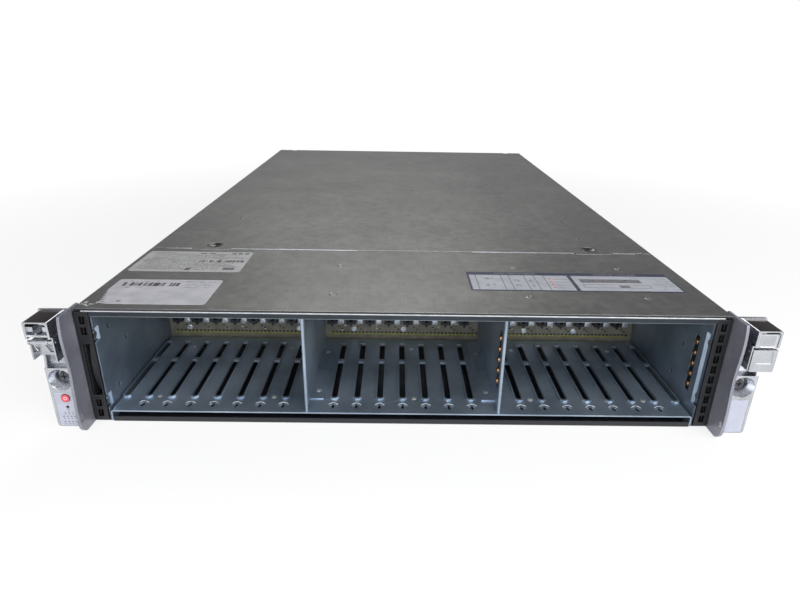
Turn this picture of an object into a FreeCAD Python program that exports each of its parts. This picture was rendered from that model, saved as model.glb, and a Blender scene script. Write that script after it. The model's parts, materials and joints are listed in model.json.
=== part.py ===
"""Two-unit rack server with an empty 24-bay front drive cage.

X points right, Y to the rear and Z up, in millimetres. The origin is on the underside of the
chassis, in the middle of its width and depth. Every piece is written as its own STEP file.
"""
import FreeCAD
import Part
import itertools
import math
import os

os.makedirs("parts", exist_ok=True)
V = FreeCAD.Vector

# ---------------------------------------------------------------- driving dimensions
RACK_WIDTH = 482.6          # over both ears, a 19 inch panel
EAR_WIDTH = 22.8            # from the body's side to the ear's outer edge
BODY_WIDTH = RACK_WIDTH - 2 * EAR_WIDTH
BODY_HEIGHT = 88.0
BODY_DEPTH = 730.0
SCREW_INSET = 8.75          # rack screw from the ear's outer edge
HOLE_SPACING = RACK_WIDTH - 2 * SCREW_INSET        # between the rack screws of the two ears
SCREW_DROP = 6.35           # rack screw below the middle, in the third hole of the rack's units

TUB_SHEET = 1.2
COVER_SHEET = 1.0
CAGE_SHEET = 1.0
SLIDE_GAP = 0.4             # between pieces that slide on each other
SEAT_GAP = 0.2              # around sheets that stand in a bend or a frame
PIN_GAP = 0.05              # radial, between a pin and its bore
BEND = 0.6                  # inner bend radius of the sheet pieces

COVER_SIDE = 12.0           # height of the covers' side flanges
FRONT_COVER_DEPTH = 133.0
REAR_LIP = 2.8              # clear of the supplies' way out
COVER_TAB_WIDTH = 32.0      # tab of the rear cover around each release button
COVER_TAB_REACH = 3.0
COVER_SLIT = 1.6            # open part of the joint between the covers
COVER_NOTCH_INSET = 22.0    # notch in the rear edge, from the body's side
COVER_NOTCH_WIDTH = 8.0
COVER_NOTCH_DEPTH = 4.0
BUTTON_INSET = 52.5         # middle of a cover button from the body's side
BUTTON_BACK = FRONT_COVER_DEPTH + 10.0
BUTTON_RADIUS = 6.6
BUTTON_TRAVEL = 3.0

BAYS_PER_GROUP = 8
DIVIDER_SHEET = 2.4
CAGE_FLOOR_TOP = 9.6
CAGE_LIP = 6.0              # from the cover down to the upper edge of the drive opening
CAGE_WALL_INSET = 10.3      # inner face of a cage wall from the body's side
CAGE_EDGE = 4.2             # from a cage wall to its nearest bay
CAGE_FLOOR_MARGIN = 1.6     # dark slit between floor and wall
CAGE_FLOOR_DEPTH = FRONT_COVER_DEPTH - 15.0
BACKPLANE_BACK = FRONT_COVER_DEPTH - 10.0
BACKPLANE_SHEET = 2.4
FRONT_LIP = 4.6             # upturned edge of the tub's floor

SLOT_WIDTH = 4.5
SLOT_RIM = 6.4
SLOT_RIM_RISE = 1.2
SLOT_START = 17.0
SLOT_END = CAGE_FLOOR_DEPTH - 11.0
SLOT_BRIDGE = 76.0
SLOT_BRIDGE_WIDTH = 4.0
STAR_BACK = 8.4
STAR_SIZE = 3.5
STAR_WAIST = 1.4

CONNECTOR_WIDTH = 8.4
CONNECTOR_HEIGHT = 42.0
CONNECTOR_REACH = 5.0
CONNECTOR_BOTTOM = 21.0
CONNECTOR_OFFSET = -3.2     # sideways from the middle of its bay

FRAME_SHEET = 2.0
FRAME_DEPTH = 22.0
FRAME_PROUD = 0.1           # the side frame's face beyond the body's side
FRAME_WINDOW = (3.6, 5.6)
FRAME_WINDOWS = 10
FRAME_END = 6.1             # middle of the last window from the frame's end

EAR_FLANGE_BACK = 1.0       # the flange's front face, behind the chassis front plane
EAR_FLANGE = 2.4
EAR_FIN_PROUD = 0.6         # inner face of the fin beyond the body's side
EAR_FIN = 1.9
FIN_ROOT = 10.0             # how far the fin reaches back along the side bracket
EAR_SIDE_DEPTH = 34.0
EAR_SIDE_DROP = 14.0        # top of the side bracket below the cover
PAD_FRONT = 6.6             # in front of the chassis front plane
DISH_RADIUS = 8.0
DISH_FLOOR_RADIUS = 4.7
DISH_RIM = 1.0
SCREW_RADIUS = 2.5
SCREW_NECK = 2.1
SCREW_START = 0.6           # from the flange to the first turn of the thread
SCREW_HEAD = 3.8
SCREW_REACH = 12.0

LATCH_INSET = 6.9           # latch from the body's side
LATCH_FRONT = 17.5
LATCH_TOP = BODY_HEIGHT - 2.6
LATCH_BOTTOM = BODY_HEIGHT - 31.0
LATCH_WALL = 1.4
LATCH_SWELL = 1.2           # the hood's inner wall is wider below the hinge
LEVER_BOTTOM = BODY_HEIGHT - 31.9
LEVER_SHEET = 2.0
PIVOT_FRONT = 15.2
PIVOT_Z = BODY_HEIGHT - 17.6
PIVOT_BARREL = 1.6
PIVOT_PIN = 0.9
LEVER_SWING = 85.0          # degrees from closed to fully open
LEVER_TILT = 5.5            # how far the finger plate leans back

FAN_HEADROOM = 6.8          # between a fan's floor and top and the chassis
FAN_DEPTH = 38.0
FAN_RIM = 1.6               # thinnest part of a fan's frame
FAN_HUB = 17.0
FAN_BLADE_GAP = 1.2
FAN_BLADES = 7
FAN_SPARE = 117.0           # width of the chassis that the fans leave free
FAN_MIDDLE_X = -24.0
FAN_BACK = 236.0
FAN_COUNT = 3
FAN_RAIL_GAP = 20.0         # rail beside each outer fan
FAN_WALL_FOOT = 14.0

SUPPLY_WIDTH = 76.5
SUPPLY_DEPTH = 336.0
SUPPLY_INSET = 4.1          # supply from the body's side
BOARD_DEPTH = 330.0
BOARD_SHEET = 1.6
BOARD_STANDOFF = 6.4
BOARD_LEFT = 36.5           # board edge from the body's left side
BOARD_RIGHT = 14.9          # board edge from the supplies
BOARD_INSET = 8.0           # board edge from the rear panel
SINK_EDGE = 39.0            # heat sink from the board's edge
SINK_PAIR_GAP = 67.0        # between the two heat sinks
SINK_HEADROOM = 7.4         # under the air shroud
SINK_FINS = 16
SINK_FROM_REAR = 244.0
MODULE_LENGTH = 133.4
MODULE_HEIGHT = 31.0
MODULE_PITCH = 9.6
MODULES_PER_SIDE = 3
PORT_INSET = 14.15          # port window from the supplies
PORT_WIDTH = 158.75
PORT_HEIGHT = 44.45
RISER_PITCH = 20.32
RISER_GAP = 22.0            # first card cover's middle from the port window
RISER_MARGIN = 15.0         # card covers from the chassis wall
RISER_COVER = 18.4
RISER_TAB = 10.0            # folded top of a card cover

# ---------------------------------------------------------------- derived places
HALF = BODY_WIDTH / 2
FRONT = -BODY_DEPTH / 2
REAR = BODY_DEPTH / 2
TUB_HALF = HALF - COVER_SHEET - SLIDE_GAP
TUB_INNER = TUB_HALF - TUB_SHEET
COVER_UNDER = BODY_HEIGHT - COVER_SHEET
WALL_TOP = COVER_UNDER - SLIDE_GAP
PANEL_FACE = REAR - COVER_SHEET - SLIDE_GAP
BUTTON_X = HALF - BUTTON_INSET
CAGE_TOP = BODY_HEIGHT - CAGE_LIP
CAGE_WALL_X = HALF - CAGE_WALL_INSET
CAGE_PLATE_TOP = COVER_UNDER - 0.6
CAGE_PLATE_UNDER = CAGE_PLATE_TOP - CAGE_SHEET
BAY_PITCH = (CAGE_WALL_X - DIVIDER_SHEET - CAGE_EDGE) * 2 / (3 * BAYS_PER_GROUP)
GROUP_PITCH = BAYS_PER_GROUP * BAY_PITCH + DIVIDER_SHEET
FLOOR_HALF = CAGE_WALL_X - CAGE_FLOOR_MARGIN
WALL_OUTER = CAGE_WALL_X + CAGE_SHEET
FRAME_OUTER_X = HALF + FRAME_PROUD
EAR_HALF = RACK_WIDTH / 2
EAR_FIN_X = HALF + EAR_FIN_PROUD
EAR_SIDE_TOP = BODY_HEIGHT - EAR_SIDE_DROP
SCREW_X = HOLE_SPACING / 2
RACK_SCREW_Z = BODY_HEIGHT / 2 - SCREW_DROP
LATCH_INNER_X = HALF + LATCH_INSET
FAN_SIZE = BODY_HEIGHT - TUB_SHEET - FAN_HEADROOM
FAN_BORE = FAN_SIZE / 2 - FAN_RIM
FAN_PITCH = (BODY_WIDTH - FAN_SPARE - FAN_SIZE) / (FAN_COUNT - 1)
SUPPLY_HEIGHT = (BODY_HEIGHT - REAR_LIP - TUB_SHEET - 2 * CAGE_SHEET - 5 * SLIDE_GAP) / 2
SUPPLY_INNER_X = HALF - SUPPLY_INSET - SUPPLY_WIDTH
BOARD_LEFT_X = BOARD_LEFT - HALF
BOARD_WIDTH = SUPPLY_INNER_X - BOARD_RIGHT - BOARD_LEFT_X
SHROUD_TOP = COVER_UNDER - 2.0
SINK_SIZE = (BOARD_WIDTH - 2 * SINK_EDGE - SINK_PAIR_GAP) / 2
SINK_X = (BOARD_LEFT_X + SINK_EDGE + SINK_SIZE / 2, BOARD_LEFT_X + BOARD_WIDTH - SINK_EDGE - SINK_SIZE / 2)
SINK_BACK = BODY_DEPTH - SINK_FROM_REAR
PORT_LEFT_X = SUPPLY_INNER_X - PORT_INSET - PORT_WIDTH
RISER_FIRST_X = PORT_LEFT_X - RISER_GAP
RISER_COUNT = 1 + int((RISER_FIRST_X - RISER_COVER / 2 - RISER_MARGIN + TUB_INNER) / RISER_PITCH)


def back(distance):
    """Y of a place so far behind the chassis front plane."""
    return FRONT + distance


# ---------------------------------------------------------------- small shape helpers
def box(x0, x1, y0, y1, z0, z1):
    return Part.makeBox(x1 - x0, y1 - y0, z1 - z0, V(x0, y0, z0))


def rod(centre, radius, length, direction):
    return Part.makeCylinder(radius, length, V(*centre), V(*direction))


def facet_rod(centre, radius, length, direction, sides=8):
    """Short straight-sided rod, for small round heads and holes that repeat."""
    turn = FreeCAD.Rotation(V(0, 0, 1), V(*direction))
    ring = []
    for i in range(sides):
        angle = 2 * math.pi * (i + 0.5) / sides
        ring.append(V(*centre) + turn.multVec(V(radius * math.cos(angle), radius * math.sin(angle), 0)))
    face = Part.Face(Part.makePolygon(ring + ring[:1]))
    return face.extrude(V(*direction) * length)


def mirrored(shape):
    """The same piece for the left side."""
    return shape.mirror(V(0, 0, 0), V(1, 0, 0))


def place(u, v, axis, level):
    """A point of a flat outline: (y, z) across x, (x, z) across y, (x, y) across z."""
    return {"x": V(level, u, v), "y": V(u, level, v), "z": V(u, v, level)}[axis]


def outline(points, axis, level, radii=None):
    """Closed wire through the points, with a tangent arc at each corner that has a radius."""
    count = len(points)
    radii = radii or [0.0] * count
    corners = [place(u, v, axis, level) for u, v in points]
    ends = []
    arcs = []
    for i in range(count):
        corner = corners[i]
        before = (corners[i - 1] - corner).normalize()
        after = (corners[(i + 1) % count] - corner).normalize()
        radius = radii[i]
        if radius <= 0:
            ends.append((corner, corner))
            arcs.append(None)
            continue
        half_angle = before.getAngle(after) / 2
        reach = radius / math.tan(half_angle)
        start = corner + before * reach
        stop = corner + after * reach
        inward = (before + after).normalize()
        middle = corner + inward * (radius / math.sin(half_angle) - radius)
        ends.append((start, stop))
        arcs.append(Part.Arc(start, middle, stop).toShape())
    edges = []
    for i in range(count):
        if arcs[i]:
            edges.append(arcs[i])
        start = ends[i][1]
        stop = ends[(i + 1) % count][0]
        if start.distanceToPoint(stop) > 1e-6:
            edges.append(Part.LineSegment(start, stop).toShape())
    return Part.Wire(edges)


def prism(points, axis, low, high, radii=None):
    """Flat outline pushed along one axis from low to high."""
    face = Part.Face(outline(points, axis, low, radii))
    return face.extrude(place(0, 0, axis, high - low))


def rounded_box(x0, x1, y0, y1, z0, z1, radius, axis):
    """Box whose four edges along one axis are rounded."""
    spans = {"x": (y0, y1, z0, z1, x0, x1), "y": (x0, x1, z0, z1, y0, y1), "z": (x0, x1, y0, y1, z0, z1)}
    u0, u1, v0, v1, low, high = spans[axis]
    corners = [(u0, v0), (u1, v0), (u1, v1), (u0, v1)]
    return prism(corners, axis, low, high, [radius] * 4)


def strip(path, sheet, axis, low, high, bend=BEND):
    """Bent sheet: the path is one face, the sheet lies to the left of it. No bend leaves sharp corners."""
    wide = bend + sheet if bend else 0.0
    normals = []
    for (u0, v0), (u1, v1) in zip(path, path[1:]):
        length = math.hypot(u1 - u0, v1 - v0)
        normals.append((-(v1 - v0) / length, (u1 - u0) / length))
    other = []
    radii = []
    turns = []
    for i, (u, v) in enumerate(path):
        first = normals[max(i - 1, 0)]
        second = normals[min(i, len(normals) - 1)]
        scale = sheet / (1 + first[0] * second[0] + first[1] * second[1])
        other.append((u + (first[0] + second[0]) * scale, v + (first[1] + second[1]) * scale))
        turn = first[0] * second[1] - first[1] * second[0]
        turns.append(turn)
        radii.append(0.0 if abs(turn) < 1e-6 else (wide if turn > 0 else bend))
    inner = [0.0 if abs(t) < 1e-6 else (bend if t > 0 else wide) for t in turns]
    return prism(path + other[::-1], axis, low, high, radii + inner[::-1])


def nosed(x, y0, y1, width, z0, z1):
    """Long hole or bead along Y, blunt at the front and square at the rear."""
    half = width / 2
    nip = half * 0.6
    corners = [(x - half, y0 + nip), (x - half + nip, y0), (x + half - nip, y0), (x + half, y0 + nip),
               (x + half, y1), (x - half, y1)]
    return prism(corners, "z", z0, z1)


def fused(shapes):
    """One clean solid from pieces that touch or overlap."""
    return shapes[0].multiFuse(shapes[1:]).removeSplitter() if len(shapes) > 1 else shapes[0]


def cut(shape, tools):
    return shape.cut(Part.makeCompound(tools)) if tools else shape


def save(name, *shapes):
    solids = [solid for shape in shapes for solid in shape.Solids]
    shape = solids[0] if len(solids) == 1 else Part.makeCompound(solids)
    shape.exportStep("parts/%s.step" % name)


# ---------------------------------------------------------------- chassis
RAIL_HOLE_RADIUS = 2.1
RAIL_HOLE_Z = BODY_HEIGHT / 2
RAIL_FRONT_BACK = 120.0
RAIL_REAR_BACK = BODY_DEPTH - 110.0
FRAME_SEAT = FRAME_SHEET + SEAT_GAP      # the tub's walls start behind the side frames


def chassis_tub():
    """Floor and side walls bent from one sheet, with an upturned lip at the front."""
    path = [(-TUB_HALF, WALL_TOP), (-TUB_HALF, 0), (TUB_HALF, 0), (TUB_HALF, WALL_TOP)]
    tub = strip(path, TUB_SHEET, "y", back(FRAME_SEAT), PANEL_FACE)
    lip_path = [(FRONT, FRONT_LIP), (FRONT, 0), (back(FRAME_SEAT + 1), 0)]
    lip_half = FLOOR_HALF - CAGE_SHEET - SEAT_GAP
    lip = strip(lip_path, TUB_SHEET, "x", -lip_half, lip_half)
    holes = []
    for side in (-1, 1):
        for distance in (RAIL_FRONT_BACK, RAIL_REAR_BACK):
            start = (side * (TUB_INNER - 1), back(distance), RAIL_HOLE_Z)
            holes.append(rod(start, RAIL_HOLE_RADIUS, TUB_SHEET + 2, (side, 0, 0)))
    save("chassis_tub", cut(fused([tub, lip]), holes))


def cover_profile(y0, y1):
    """Top sheet with a flange down each side of the tub."""
    low = BODY_HEIGHT - COVER_SIDE
    path = [(HALF, low), (HALF, BODY_HEIGHT), (-HALF, BODY_HEIGHT), (-HALF, low)]
    return strip(path, COVER_SHEET, "y", y0, y1)


COVER_SCREW_X = (-50.5, 88.5, HALF - 45.5)
COVER_SCREW_BACK = (30.0, 92.0)
COVER_SCREW_HEAD = 2.9
COVER_SCREW_RISE = 0.3


def front_cover():
    """Fixed cover over the drive cage, notched for the rear cover's two tabs."""
    cover = cover_profile(FRONT, back(FRONT_COVER_DEPTH))
    tools = []
    for side in (-1, 1):
        middle = side * BUTTON_X
        half_tab = COVER_TAB_WIDTH / 2 + SLIDE_GAP
        y0 = back(FRONT_COVER_DEPTH - COVER_TAB_REACH - SLIDE_GAP)
        tools.append(box(middle - half_tab, middle + half_tab, y0, back(FRONT_COVER_DEPTH + 1),
                         COVER_UNDER - 1, BODY_HEIGHT + 1))
    for side in (-1, 1):
        x0, x1 = sorted((side * (TUB_HALF - 1), side * (HALF + 1)))
        tools.append(box(x0, x1, FRONT - 1, back(FRAME_SEAT), BODY_HEIGHT - COVER_SIDE - 1, WALL_TOP))
    heads = []
    for x, y in itertools.product(COVER_SCREW_X, COVER_SCREW_BACK):
        seat = (x, back(y), CAGE_PLATE_TOP)
        rise = BODY_HEIGHT + COVER_SCREW_RISE - CAGE_PLATE_TOP
        heads.append(facet_rod(seat, COVER_SCREW_HEAD, rise, (0, 0, 1)))
        tools.append(facet_rod(seat, COVER_SCREW_HEAD + PIN_GAP, COVER_SHEET + 2, (0, 0, 1)))
    save("front_cover", cut(cover, tools))
    save("cover_screws", *heads)


LATCH_STRIP_WIDTH = 24.0
LATCH_STRIP_SHEET = 1.2
LATCH_STRIP_FRONT = 9.0     # strip in front of the button's middle
LATCH_STRIP_FLAT = 12.0     # flat behind it, up to the slope
LATCH_STRIP_SLOPE = 5.0
LATCH_STRIP_END = 46.0
BUTTON_CAP = 3.6
BUTTON_STEM = 3.0
LATCH_STRIP_Z = BODY_HEIGHT - BUTTON_CAP - BUTTON_TRAVEL - 0.6 - LATCH_STRIP_SHEET


def rear_cover():
    """Removable cover: sheet with side flanges, a notched rear lip, two tabs and two button holes."""
    start = FRONT_COVER_DEPTH + SLIDE_GAP
    cover = cover_profile(back(start), REAR)
    lip = box(-HALF + BEND + COVER_SHEET, HALF - BEND - COVER_SHEET, REAR - COVER_SHEET, REAR,
              BODY_HEIGHT - REAR_LIP, BODY_HEIGHT - COVER_SHEET / 2)
    pieces = [cover, lip]
    tools = []
    for side in (-1, 1):
        middle = side * BUTTON_X
        half_tab = COVER_TAB_WIDTH / 2
        pieces.append(box(middle - half_tab, middle + half_tab, back(FRONT_COVER_DEPTH - COVER_TAB_REACH),
                          back(start + 1), COVER_UNDER, BODY_HEIGHT))
        tools.append(rod((middle, back(BUTTON_BACK), COVER_UNDER - 1), BUTTON_RADIUS + 0.3,
                         COVER_SHEET + 2, (0, 0, 1)))
        outer = HALF - COVER_NOTCH_INSET
        x0, x1 = sorted((side * outer, side * (outer - COVER_NOTCH_WIDTH)))
        tools.append(box(x0, x1, REAR - COVER_NOTCH_DEPTH, REAR + 1, BODY_HEIGHT - REAR_LIP - 1, BODY_HEIGHT + 1))
        slit_inner = BUTTON_X + half_tab
        slit_outer = HALF - COVER_SIDE + 2.4
        x0, x1 = sorted((side * slit_inner, side * slit_outer))
        tools.append(box(x0, x1, back(start - 1), back(FRONT_COVER_DEPTH + COVER_SLIT),
                         COVER_UNDER - 1, BODY_HEIGHT + 1))
    save("rear_cover", cut(fused(pieces), tools))


def cover_buttons():
    """Round press button at each front corner of the rear cover, and the strip that guides it."""
    strips = []
    for side, name in ((-1, "left"), (1, "right")):
        middle = side * BUTTON_X
        y = back(BUTTON_BACK)
        cap = facet_rod((middle, y, BODY_HEIGHT - BUTTON_CAP), BUTTON_RADIUS, BUTTON_CAP, (0, 0, 1), 24)
        stem_low = LATCH_STRIP_Z - 3.0
        stem = rod((middle, y, stem_low), BUTTON_STEM, BODY_HEIGHT - BUTTON_CAP - stem_low + 0.1, (0, 0, 1))
        save("cover_button_%s" % name, fused([cap, stem]))
        high = COVER_UNDER - LATCH_STRIP_SHEET
        path = [(y - LATCH_STRIP_FRONT, LATCH_STRIP_Z), (y + LATCH_STRIP_FLAT, LATCH_STRIP_Z),
                (y + LATCH_STRIP_FLAT + LATCH_STRIP_SLOPE, high), (y + LATCH_STRIP_END, high)]
        half = LATCH_STRIP_WIDTH / 2
        leaf = strip(path, LATCH_STRIP_SHEET, "x", middle - half, middle + half, 0)
        hole = rod((middle, y, LATCH_STRIP_Z - 1), BUTTON_STEM + PIN_GAP, LATCH_STRIP_SHEET + 2, (0, 0, 1))
        strips.append(leaf.cut(hole))
    save("button_guide_strips", *strips)


# ---------------------------------------------------------------- drive cage
def slot_places():
    """X of every guide slot: between the bays of each group, and at the cage's edges."""
    places = []
    for group in (-1, 0, 1):
        for k in range(1, BAYS_PER_GROUP):
            places.append(group * GROUP_PITCH + (k - BAYS_PER_GROUP / 2) * BAY_PITCH)
    edge = FLOOR_HALF - SLOT_RIM / 2 - 0.4
    return places + [-edge, edge]


def star(x, y, z0, z1):
    """Four-pointed cut of a spring finger that is lanced out of the floor."""
    points = []
    for i in range(8):
        angle = math.pi / 4 * i
        reach = STAR_SIZE if i % 2 == 0 else STAR_WAIST
        points.append((x + reach * math.sin(angle), y + reach * math.cos(angle)))
    return prism(points, "z", z0, z1)


def cage_floor():
    """Slotted floor on two side flanges, each slot inside a raised blunt-nosed rim."""
    top = CAGE_FLOOR_TOP
    path = [(FLOOR_HALF, TUB_SHEET), (FLOOR_HALF, top), (-FLOOR_HALF, top), (-FLOOR_HALF, TUB_SHEET)]
    floor = strip(path, CAGE_SHEET, "y", FRONT, back(CAGE_FLOOR_DEPTH))
    rims = []
    tools = []
    low = top - CAGE_SHEET - 1
    high = top + SLOT_RIM_RISE + 1
    half_bridge = SLOT_BRIDGE_WIDTH / 2
    for x in slot_places():
        rims.append(nosed(x, back(SLOT_START), back(SLOT_END + 1), SLOT_RIM, top - 0.2, top + SLOT_RIM_RISE))
        start = SLOT_START + SLOT_RIM - SLOT_WIDTH
        half = SLOT_WIDTH / 2
        tools.append(nosed(x, back(start), back(SLOT_BRIDGE - half_bridge), SLOT_WIDTH, low, high))
        tools.append(box(x - half, x + half, back(SLOT_BRIDGE + half_bridge), back(SLOT_END), low, high))
        if abs(x) < FLOOR_HALF - SLOT_RIM:
            tools.append(star(x, back(STAR_BACK), low, high))
    save("cage_floor", cut(fused([floor] + rims), tools))


CAGE_TOP_DEPTH = FRONT_COVER_DEPTH - 2.0        # ends before the guide strips


def cage_top():
    """Top plate of the cage with a flange folded down over the drive opening."""
    path = [(back(CAGE_TOP_DEPTH), CAGE_PLATE_TOP), (FRONT, CAGE_PLATE_TOP), (FRONT, CAGE_TOP)]
    sheet = strip(path, CAGE_SHEET, "x", -CAGE_WALL_X, CAGE_WALL_X)
    wings = [box(min(s * (CAGE_WALL_X - 1), s * TUB_INNER), max(s * (CAGE_WALL_X - 1), s * TUB_INNER),
                 back(FRAME_SEAT + 1), back(CAGE_TOP_DEPTH), CAGE_PLATE_UNDER, CAGE_PLATE_TOP)
             for s in (-1, 1)]
    save("cage_top", fused([sheet] + wings))


LUG_DEPTH = 9.0
LUG_STEP = 1.8
LUG_FRONT = FRAME_SEAT + 0.2
LEFT_LUGS = [(BODY_HEIGHT - 26.2, BODY_HEIGHT - 16.2), (10.6, 20.6)]
RIGHT_LUGS = [(16.5, BODY_HEIGHT - 15.5)]
LEFT_HOLES = [(21.6, BODY_HEIGHT - 22.6), (44.1, 46.3), (80.0, 17.8), (22.3, 18.1)]     # distance back, height
RIGHT_HOLES = [(36.0, 50.0), (44.1, 22.0)]
WALL_HOLE_RADIUS = 1.6
LUG_SCREW_RADIUS = 1.3
LUG_SCREW_HEAD = 2.3
LUG_SCREW_BACK = 5.0
LUG_SCREW_END = 7.0
CONTACT_Z = [26.0 + 8.5 * i for i in range(5)]
CONTACT_BACK_WALL = 18.5
CONTACT_BACK_DIVIDER = 6.6
CONTACT_RADIUS = 2.3
CONTACT_RISE = 1.6
CONTACT_CROWN = 0.5


def lug_screw_heights(lugs):
    """One screw in the middle of a short lug, one near each end of a long one."""
    heights = []
    for z0, z1 in lugs:
        heights += [z0 + LUG_SCREW_END, z1 - LUG_SCREW_END] if z1 - z0 > 3 * LUG_SCREW_END else [(z0 + z1) / 2]
    return heights


def cage_side(side, lugs, holes):
    """Side wall of the cage; its front edge steps outward into screw lugs."""
    front = back(LUG_FRONT)
    wall = box(CAGE_WALL_X, WALL_OUTER, front, back(BACKPLANE_BACK), TUB_SHEET, CAGE_PLATE_UNDER)
    pieces = [wall.cut(Part.makeCompound([
        box(CAGE_WALL_X - 1, WALL_OUTER + 1, front - 1, back(LUG_DEPTH), z0, z1) for z0, z1 in lugs]))]
    for z0, z1 in lugs:
        path = [(CAGE_WALL_X + LUG_STEP, front), (CAGE_WALL_X + LUG_STEP, back(LUG_DEPTH - LUG_STEP)),
                (CAGE_WALL_X, back(LUG_DEPTH)), (CAGE_WALL_X, back(LUG_DEPTH + 1))]
        pieces.append(strip(path[::-1], CAGE_SHEET, "z", z0, z1, 0))
    tools = [facet_rod((CAGE_WALL_X - 1, back(y), z), WALL_HOLE_RADIUS, 4, (1, 0, 0)) for y, z in holes]
    for z in lug_screw_heights(lugs):
        tools.append(facet_rod((CAGE_WALL_X - 1, back(LUG_SCREW_BACK), z), LUG_SCREW_RADIUS + PIN_GAP,
                               LUG_STEP + 4, (1, 0, 0), 6))
    wall = cut(fused(pieces), tools)
    return mirrored(wall) if side < 0 else wall


def lug_screws():
    """Low-head screws that hold the side frames to the lugs."""
    screws = []
    for side, lugs in ((-1, LEFT_LUGS), (1, RIGHT_LUGS)):
        face = CAGE_WALL_X + LUG_STEP
        for z in lug_screw_heights(lugs):
            seat = (side * face, back(LUG_SCREW_BACK), z)
            head = facet_rod(seat, LUG_SCREW_HEAD, 0.9, (-side, 0, 0))
            shank = facet_rod(seat, LUG_SCREW_RADIUS, CAGE_SHEET + 0.2, (side, 0, 0), 6)
            screws.append(fused([head, shank]))
    save("lug_screws", *screws)


def cage_walls():
    save("cage_side_left", cage_side(-1, LEFT_LUGS, LEFT_HOLES))
    right = cage_side(1, RIGHT_LUGS, RIGHT_HOLES)
    slot = box(CAGE_WALL_X - 1, WALL_OUTER + 1, back(CONTACT_BACK_WALL - 2.9), back(CONTACT_BACK_WALL + 2.9),
               CONTACT_Z[0] - 5, CONTACT_Z[-1] + 5)
    save("cage_side_right", right.cut(slot))


DIVIDER_FOOT = 9.0
DIVIDER_HEM = 6.0


def dividers():
    """Upright sheet with a riveted foot and a front edge folded back on itself."""
    middle = GROUP_PITCH / 2
    front = back(CAGE_SHEET + BEND)
    half = DIVIDER_SHEET / 2
    sheet = box(middle - CAGE_SHEET / 2, middle + CAGE_SHEET / 2, front, back(BACKPLANE_BACK - 2),
                CAGE_FLOOR_TOP, CAGE_PLATE_UNDER)
    foot = box(middle - half - DIVIDER_FOOT, middle, back(SLOT_START), back(CAGE_FLOOR_DEPTH - 4),
               CAGE_FLOOR_TOP, CAGE_FLOOR_TOP + CAGE_SHEET)
    hem = rounded_box(middle - half, middle + half, front, front + DIVIDER_HEM, CAGE_FLOOR_TOP,
                      CAGE_PLATE_UNDER, half * 0.98, "z")
    right = fused([sheet, foot, hem])
    slot = box(middle - half - 1, middle + half + 1, back(CONTACT_BACK_DIVIDER + 2.2),
               back(CONTACT_BACK_DIVIDER + 8), CONTACT_Z[0] - 1, CONTACT_Z[-1] + 9)
    save("divider_right", right.cut(slot))
    save("divider_left", mirrored(right))


def contact(x, y, z):
    """Domed brass contact that faces the middle of the cage."""
    stem = facet_rod((x, y, z), CONTACT_RADIUS, CONTACT_RISE - CONTACT_CROWN, (-1, 0, 0))
    top = x - CONTACT_RISE + CONTACT_CROWN
    crown = facet_rod((top, y, z), CONTACT_RADIUS * 0.65, CONTACT_CROWN, (-1, 0, 0))
    return fused([stem, crown])


def contacts():
    """Brass contacts on the right wall and on the right divider, each set on its own black carrier."""
    wall_x = CAGE_WALL_X + CAGE_SHEET
    carrier_wall = box(wall_x - 0.6, wall_x + 2, back(CONTACT_BACK_WALL - 2.7), back(CONTACT_BACK_WALL + 2.7),
                       CONTACT_Z[0] - 4.8, CONTACT_Z[-1] + 4.8)
    middle = GROUP_PITCH / 2
    rise = 4.4
    y = back(CONTACT_BACK_DIVIDER + 5.1)
    carrier_divider = box(middle - 0.8, middle + 0.8, y - 2.7, y + 2.7, CONTACT_Z[0] - 0.8, CONTACT_Z[-1] + 8.8)
    save("contact_carriers", carrier_wall, carrier_divider)
    pins = [contact(wall_x - 0.6, back(CONTACT_BACK_WALL), z) for z in CONTACT_Z]
    pins += [contact(middle - 0.8, y, z + rise) for z in CONTACT_Z]
    save("brass_contacts", *pins)


def backplane():
    """Upright board behind the bays, notched along its bottom, with one connector per bay."""
    y0 = back(BACKPLANE_BACK)
    half = CAGE_WALL_X - SEAT_GAP
    board = box(-half, half, y0, y0 + BACKPLANE_SHEET, TUB_SHEET + 1.6, CAGE_PLATE_UNDER)
    tools = []
    connectors = []
    for group in (-1, 0, 1):
        for k in range(BAYS_PER_GROUP):
            middle = group * GROUP_PITCH + (k + 0.5 - BAYS_PER_GROUP / 2) * BAY_PITCH
            tools.append(box(middle + 2, middle + 7, y0 - 1, y0 + BACKPLANE_SHEET + 1, CONNECTOR_BOTTOM + 9,
                             BODY_HEIGHT - 18))
            connectors.append(connector(middle + CONNECTOR_OFFSET, y0))
    save("backplane_board", cut(board, tools))
    save("drive_connectors", *connectors)


def connector(x, y0):
    """Upright drive connector with a keyed lower end and a contact groove."""
    half = CONNECTOR_WIDTH / 2
    low = CONNECTOR_BOTTOM
    high = low + CONNECTOR_HEIGHT
    points = [(x - half, high), (x - half, low + 3), (x - 1.6, low + 3), (x, low), (x + 1.6, low + 3),
              (x + half, low + 3), (x + half, high)]
    body = prism(points, "y", y0 - CONNECTOR_REACH, y0)
    groove = box(x - 1.3, x + 1.3, y0 - CONNECTOR_REACH - 1, y0 - 1.5, low + 5, high - 2)
    return body.cut(groove)


BACKPLANE_FOOT = 8.0
BACKPLANE_ANGLE = 14.0      # height of the angle's upright side


def backplane_carrier():
    """Angle that holds the backplane on the tub's floor."""
    y0 = back(BACKPLANE_BACK + BACKPLANE_SHEET)
    path = [(y0 + BACKPLANE_FOOT, TUB_SHEET), (y0, TUB_SHEET), (y0, TUB_SHEET + BACKPLANE_ANGLE)]
    save("backplane_carrier", strip(path[::-1], CAGE_SHEET, "x", -CAGE_WALL_X, CAGE_WALL_X))


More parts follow.
